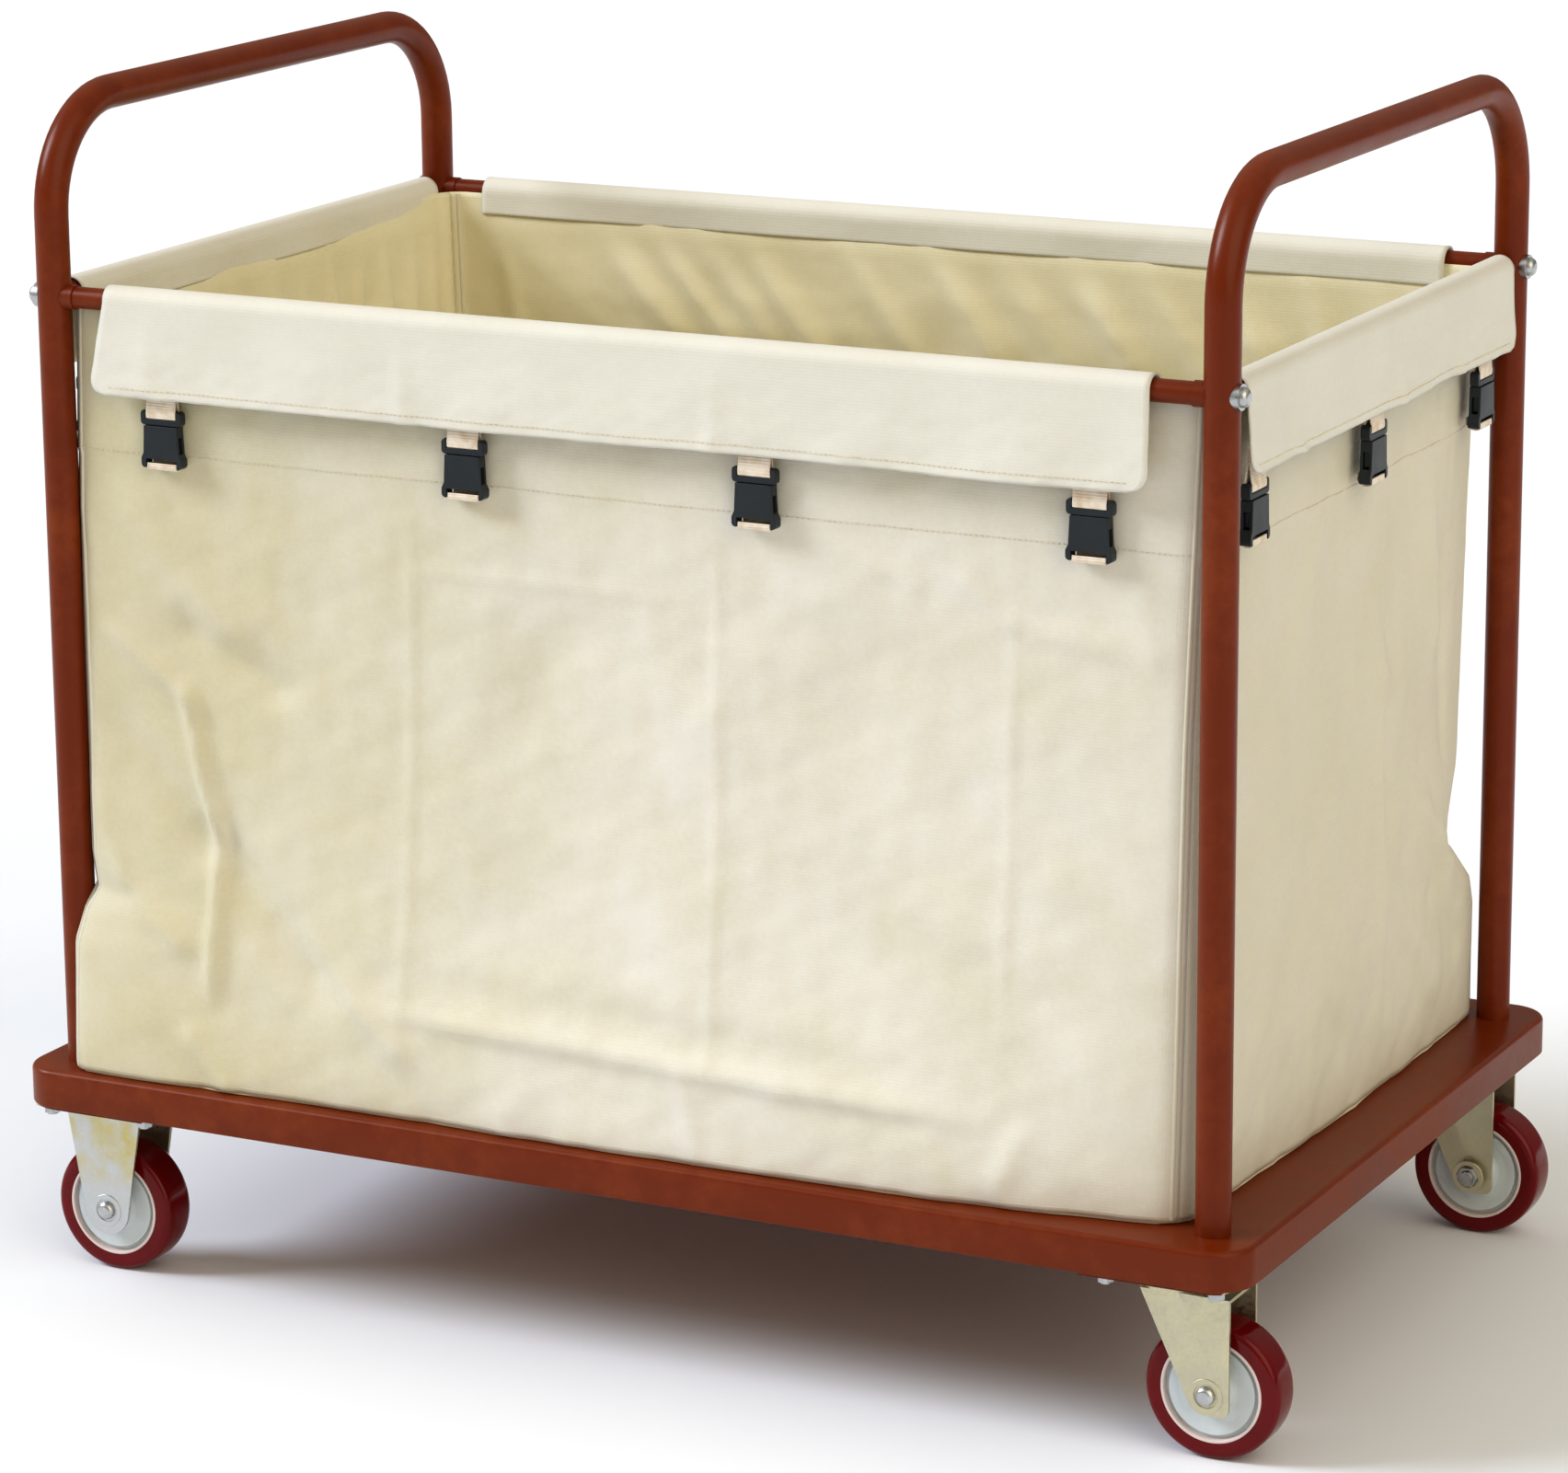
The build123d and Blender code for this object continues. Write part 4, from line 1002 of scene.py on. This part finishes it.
# ------------------------------------------------------------------ castors
class CART_OT_castors(bpy.types.Operator):
    """Dress the brackets, forks, plates, races and bolts of the castors"""

    bl_idname = "cart.castors"
    bl_label = "Castors"

    def execute(self, context):
        made = finishes()
        dress_up = {node: ("zinc", "zinc_plate", 0.3) for node in ("castor_fixings", "rigid_axles", "kingpins")}
        for row in ("front", "back"):
            dress_up[f"{row}_left_bracket"] = ("pressed", "castor_zinc", 0.7)
            dress_up[f"{row}_right_swivel_plate"] = ("pressed", "castor_zinc", 0.5)
            dress_up[f"{row}_right_fork"] = ("fork", "castor_zinc", 0.7)
            dress_up[f"{row}_right_ball_ring"] = ("bearing", "bearing_steel", 0)
            dress_up[f"{row}_right_axle"] = ("zinc", "zinc_plate", 0.3)
        for node, (finish, slot, edge) in dress_up.items():
            piece = turned_copy(f"{node}_metal", [node], made[finish], edge * MM)
            seat(piece, body_of(node), [node])
        for row in ("front", "back"):
            self.boss(f"{row}_left", "bracket", context.scene.cart_castor, made["pressed"])
            self.boss(f"{row}_right", "fork", context.scene.cart_castor, made["fork"])
        return {"FINISHED"}

    def boss(self, place, holder, settings, material):
        """The pressed ring round the axle's head: a low round-edged band turned about the axle, on
        the outer face of the front cheek."""
        row = place.split("_")[0]
        face = spot(f"{row}_right_axle")[0][1] - spot(f"{row}_right_tyre")[2][1] + settings.axle_head
        back, front = face - settings.boss_rise, face + 0.5 * MM
        inner, outer = settings.boss_inner, settings.boss_outer
        band = rounded([(inner, back), (outer, back), (outer, front), (inner, front)], 0.5 * MM)
        rings = lathe(band, spot(f"{place}_tyre")[2], 1, 56)
        ring = skin(f"{place}_{holder}_boss", [(rings, True, True)], [material])
        seat(ring, body_of(f"{place}_{holder}"))


class CART_OT_wheels(bpy.types.Operator):
    """Build the tyres, wheel discs and rings"""

    bl_idname = "cart.wheels"
    bl_label = "Wheels"

    def execute(self, context):
        settings, made = context.scene.cart_castor, finishes()
        for row in ("front", "back"):
            for end in ("left", "right"):
                self.wheel(f"{row}_{end}", settings, made)
        return {"FINISHED"}

    def wheel(self, name, settings, made):
        """Three rings about the axle: a round-shouldered tyre, the pale rim and the grooved disc."""
        low, high, middle = spot(f"{name}_tyre")
        radius, half = (high[2] - low[2]) / 2, (high[1] - low[1]) / 2
        core, edge = settings.core, radius - 0.2 * MM
        rounds = [0.6 * MM, settings.shoulder, 4 * MM, settings.shoulder, 0.6 * MM]
        tyre = rounded([(core, -half), (edge, -half), (radius, 0), (edge, half), (core, half)], rounds)
        inner, outer, face = core - settings.rim_depth, core - 0.05 * MM, half + 0.2 * MM
        rim = rounded([(inner, -face), (outer, -face), (outer, face), (inner, face)], 0.7 * MM)
        groove, fit = inner - settings.groove_width, inner + 0.2 * MM
        deep, dish, floor = half - 5 * MM, half - 1.6 * MM, half - 2.5 * MM
        hub, hub_half, bore = 16 * MM, 20 * MM, 13 * MM
        side = [(fit, deep), (groove, deep), (groove, dish), (groove - 7 * MM, floor), (hub + 3 * MM, floor),
                (hub, dish), (hub, hub_half), (bore, hub_half)]
        disc = rounded(side + [(reach, -depth) for reach, depth in reversed(side)], 0.45 * MM, 4)
        body = f"{name}_wheel"
        for label, profile, finish, slot, nodes in (
                ("tyre_ring", tyre, "tyre", "tyre", [f"{name}_tyre"]),
                ("pale_rim", rim, "rim", "wheel_core", ()),
                ("nylon_disc", disc, "disc", "wheel_core", [f"{name}_wheel_core"])):
            rings = lathe(profile, middle, 1, 112)
            piece = skin(f"{name}_{label}", [(rings, True, True)], [made[finish]])
            seat(piece, body, nodes)
        node = f"{name}_bearings"
        piece = turned_copy(f"{node}_steel", [node], made["bearing"], 0.2 * MM)
        seat(piece, body, [node])


# ------------------------------------------------------------------ stage
# The camera's yaw, pitch and roll in degrees, and its place in metres.
CAMERA_TURN = (27.002, 14.428, -0.476)
CAMERA_PLACE = (1.86995, -3.68392, 1.46294)


class CART_OT_stage(bpy.types.Operator):
    """Set the floor, the lights and the camera"""

    bl_idname = "cart.stage"
    bl_label = "Stage"

    def execute(self, context):
        scene, settings = context.scene, context.scene.cart_stage
        self.floor(settings)
        self.dome(scene, settings)
        self.sun("key_light", settings.key, (-1.3, -0.6, 1.0), 26, "#EFF5FF")
        self.sun("fill_light", settings.key * settings.fill, (1.1, -0.6, 0.75), 60, "#FFF2D6")
        scene.view_settings.view_transform = "Standard"
        scene.view_settings.look = "Medium High Contrast"
        self.camera(settings)
        return {"FINISHED"}

    def dome(self, scene, settings):
        """Warm light from all round, stronger from above than from the horizon."""
        scene.world = bpy.data.worlds.new("studio_sky")
        scene.world.use_nodes = True
        tree = scene.world.node_tree
        place = add(tree, "ShaderNodeTexCoord").outputs["Generated"]
        rise = add(tree, "ShaderNodeSeparateXYZ", (), {0: place}).outputs["Z"]
        glow = remap(tree, rise, 0.0, 0.8, settings.sky * 0.45, settings.sky * 1.5)
        dress(tree, tree.nodes["Background"], {"Color": four(linear("#FFF9EC")), "Strength": glow})

    def floor(self, settings):
        """A flat sheet of pale studio floor."""
        material, tree, shader, place = new_finish("matt_studio_floor")
        tint = blend(tree, noise(tree, place.outputs["Object"], 3.0), settings.floor, linear("#F2F5FB"))
        dress(tree, shader, {"Base Color": tint, "Roughness": 0.9, "Specular IOR Level": 0.2})
        side = np.linspace(-22, 22, 3)
        x, y = np.meshgrid(side, side)
        grid = np.stack([x, y, 0 * x], -1)
        floor = skin("studio_floor", [(grid, False, False)], [material], closed=False)

    def sun(self, name, strength, direction, angle, code):
        """A broad soft light from a direction."""
        lamp = bpy.data.lights.new(name, "SUN")
        lamp.energy, lamp.angle, lamp.color = strength, np.radians(angle), linear(code)
        light = bpy.data.objects.new(name, lamp)
        light.rotation_euler = Vector(direction).to_track_quat("Z", "Y").to_euler()
        bpy.context.scene.collection.objects.link(light)

    def camera(self, settings):
        """Looks slightly down at the cart from the front, a little round to its right."""
        yaw, pitch, roll = np.radians(CAMERA_TURN)
        back = np.array([np.sin(yaw) * np.cos(pitch), -np.cos(yaw) * np.cos(pitch), np.sin(pitch)])
        right = np.array([np.cos(yaw), np.sin(yaw), 0.0])
        up = np.cross(back, right)
        right, up = np.cos(roll) * right + np.sin(roll) * up, np.cos(roll) * up - np.sin(roll) * right
        turn = np.eye(4)
        turn[:3, 0], turn[:3, 1], turn[:3, 2] = right, up, back
        turn[:3, 3] = CAMERA_PLACE
        lens = bpy.data.cameras.new("studio_camera")
        lens.lens, lens.sensor_width, lens.sensor_fit = settings.lens, 36.0, "HORIZONTAL"
        camera = bpy.data.objects.new("studio_camera", lens)
        camera.matrix_world = Matrix(turn.tolist())
        bpy.context.scene.collection.objects.link(camera)
        bpy.context.scene.camera = camera


# ------------------------------------------------------------------ panel
OPERATORS = (CART_OT_steelwork, CART_OT_bag, CART_OT_flaps, CART_OT_buckles, CART_OT_stitching,
             CART_OT_castors, CART_OT_wheels, CART_OT_stage)


class CART_PT_sidebar(bpy.types.Panel):
    """The cart's pieces and settings"""

    bl_idname = "CART_PT_sidebar"
    bl_label = "Housekeeping Cart"
    bl_space_type = "VIEW_3D"
    bl_region_type = "UI"
    bl_category = "Cart"

    def draw(self, context):
        for operator in OPERATORS:
            self.layout.operator(operator.bl_idname)
        for name in SETTINGS:
            group = getattr(context.scene, name)
            box = self.layout.box()
            for field in group.bl_rna.properties:
                if not field.is_readonly and field.identifier != "name":
                    box.prop(group, field.identifier)


SETTINGS = {"cart_steel": CartSteelSettings, "cart_bag": CartBagSettings, "cart_buckle": CartBuckleSettings,
            "cart_castor": CartCastorSettings, "cart_stage": CartStageSettings}


def register():
    for made in (*SETTINGS.values(), *OPERATORS, CART_PT_sidebar):
        bpy.utils.register_class(made)
    for name, group in SETTINGS.items():
        setattr(bpy.types.Scene, name, PointerProperty(type=group))


def unregister():
    for name in SETTINGS:
        delattr(bpy.types.Scene, name)
    for made in reversed((*SETTINGS.values(), *OPERATORS, CART_PT_sidebar)):
        bpy.utils.unregister_class(made)


def main():
    register()
    bpy.ops.cart.steelwork()
    bpy.ops.cart.bag()
    bpy.ops.cart.flaps()
    bpy.ops.cart.buckles()
    bpy.ops.cart.stitching()
    bpy.ops.cart.castors()
    bpy.ops.cart.wheels()
    bpy.ops.cart.stage()


if __name__ == "__main__":
    main()
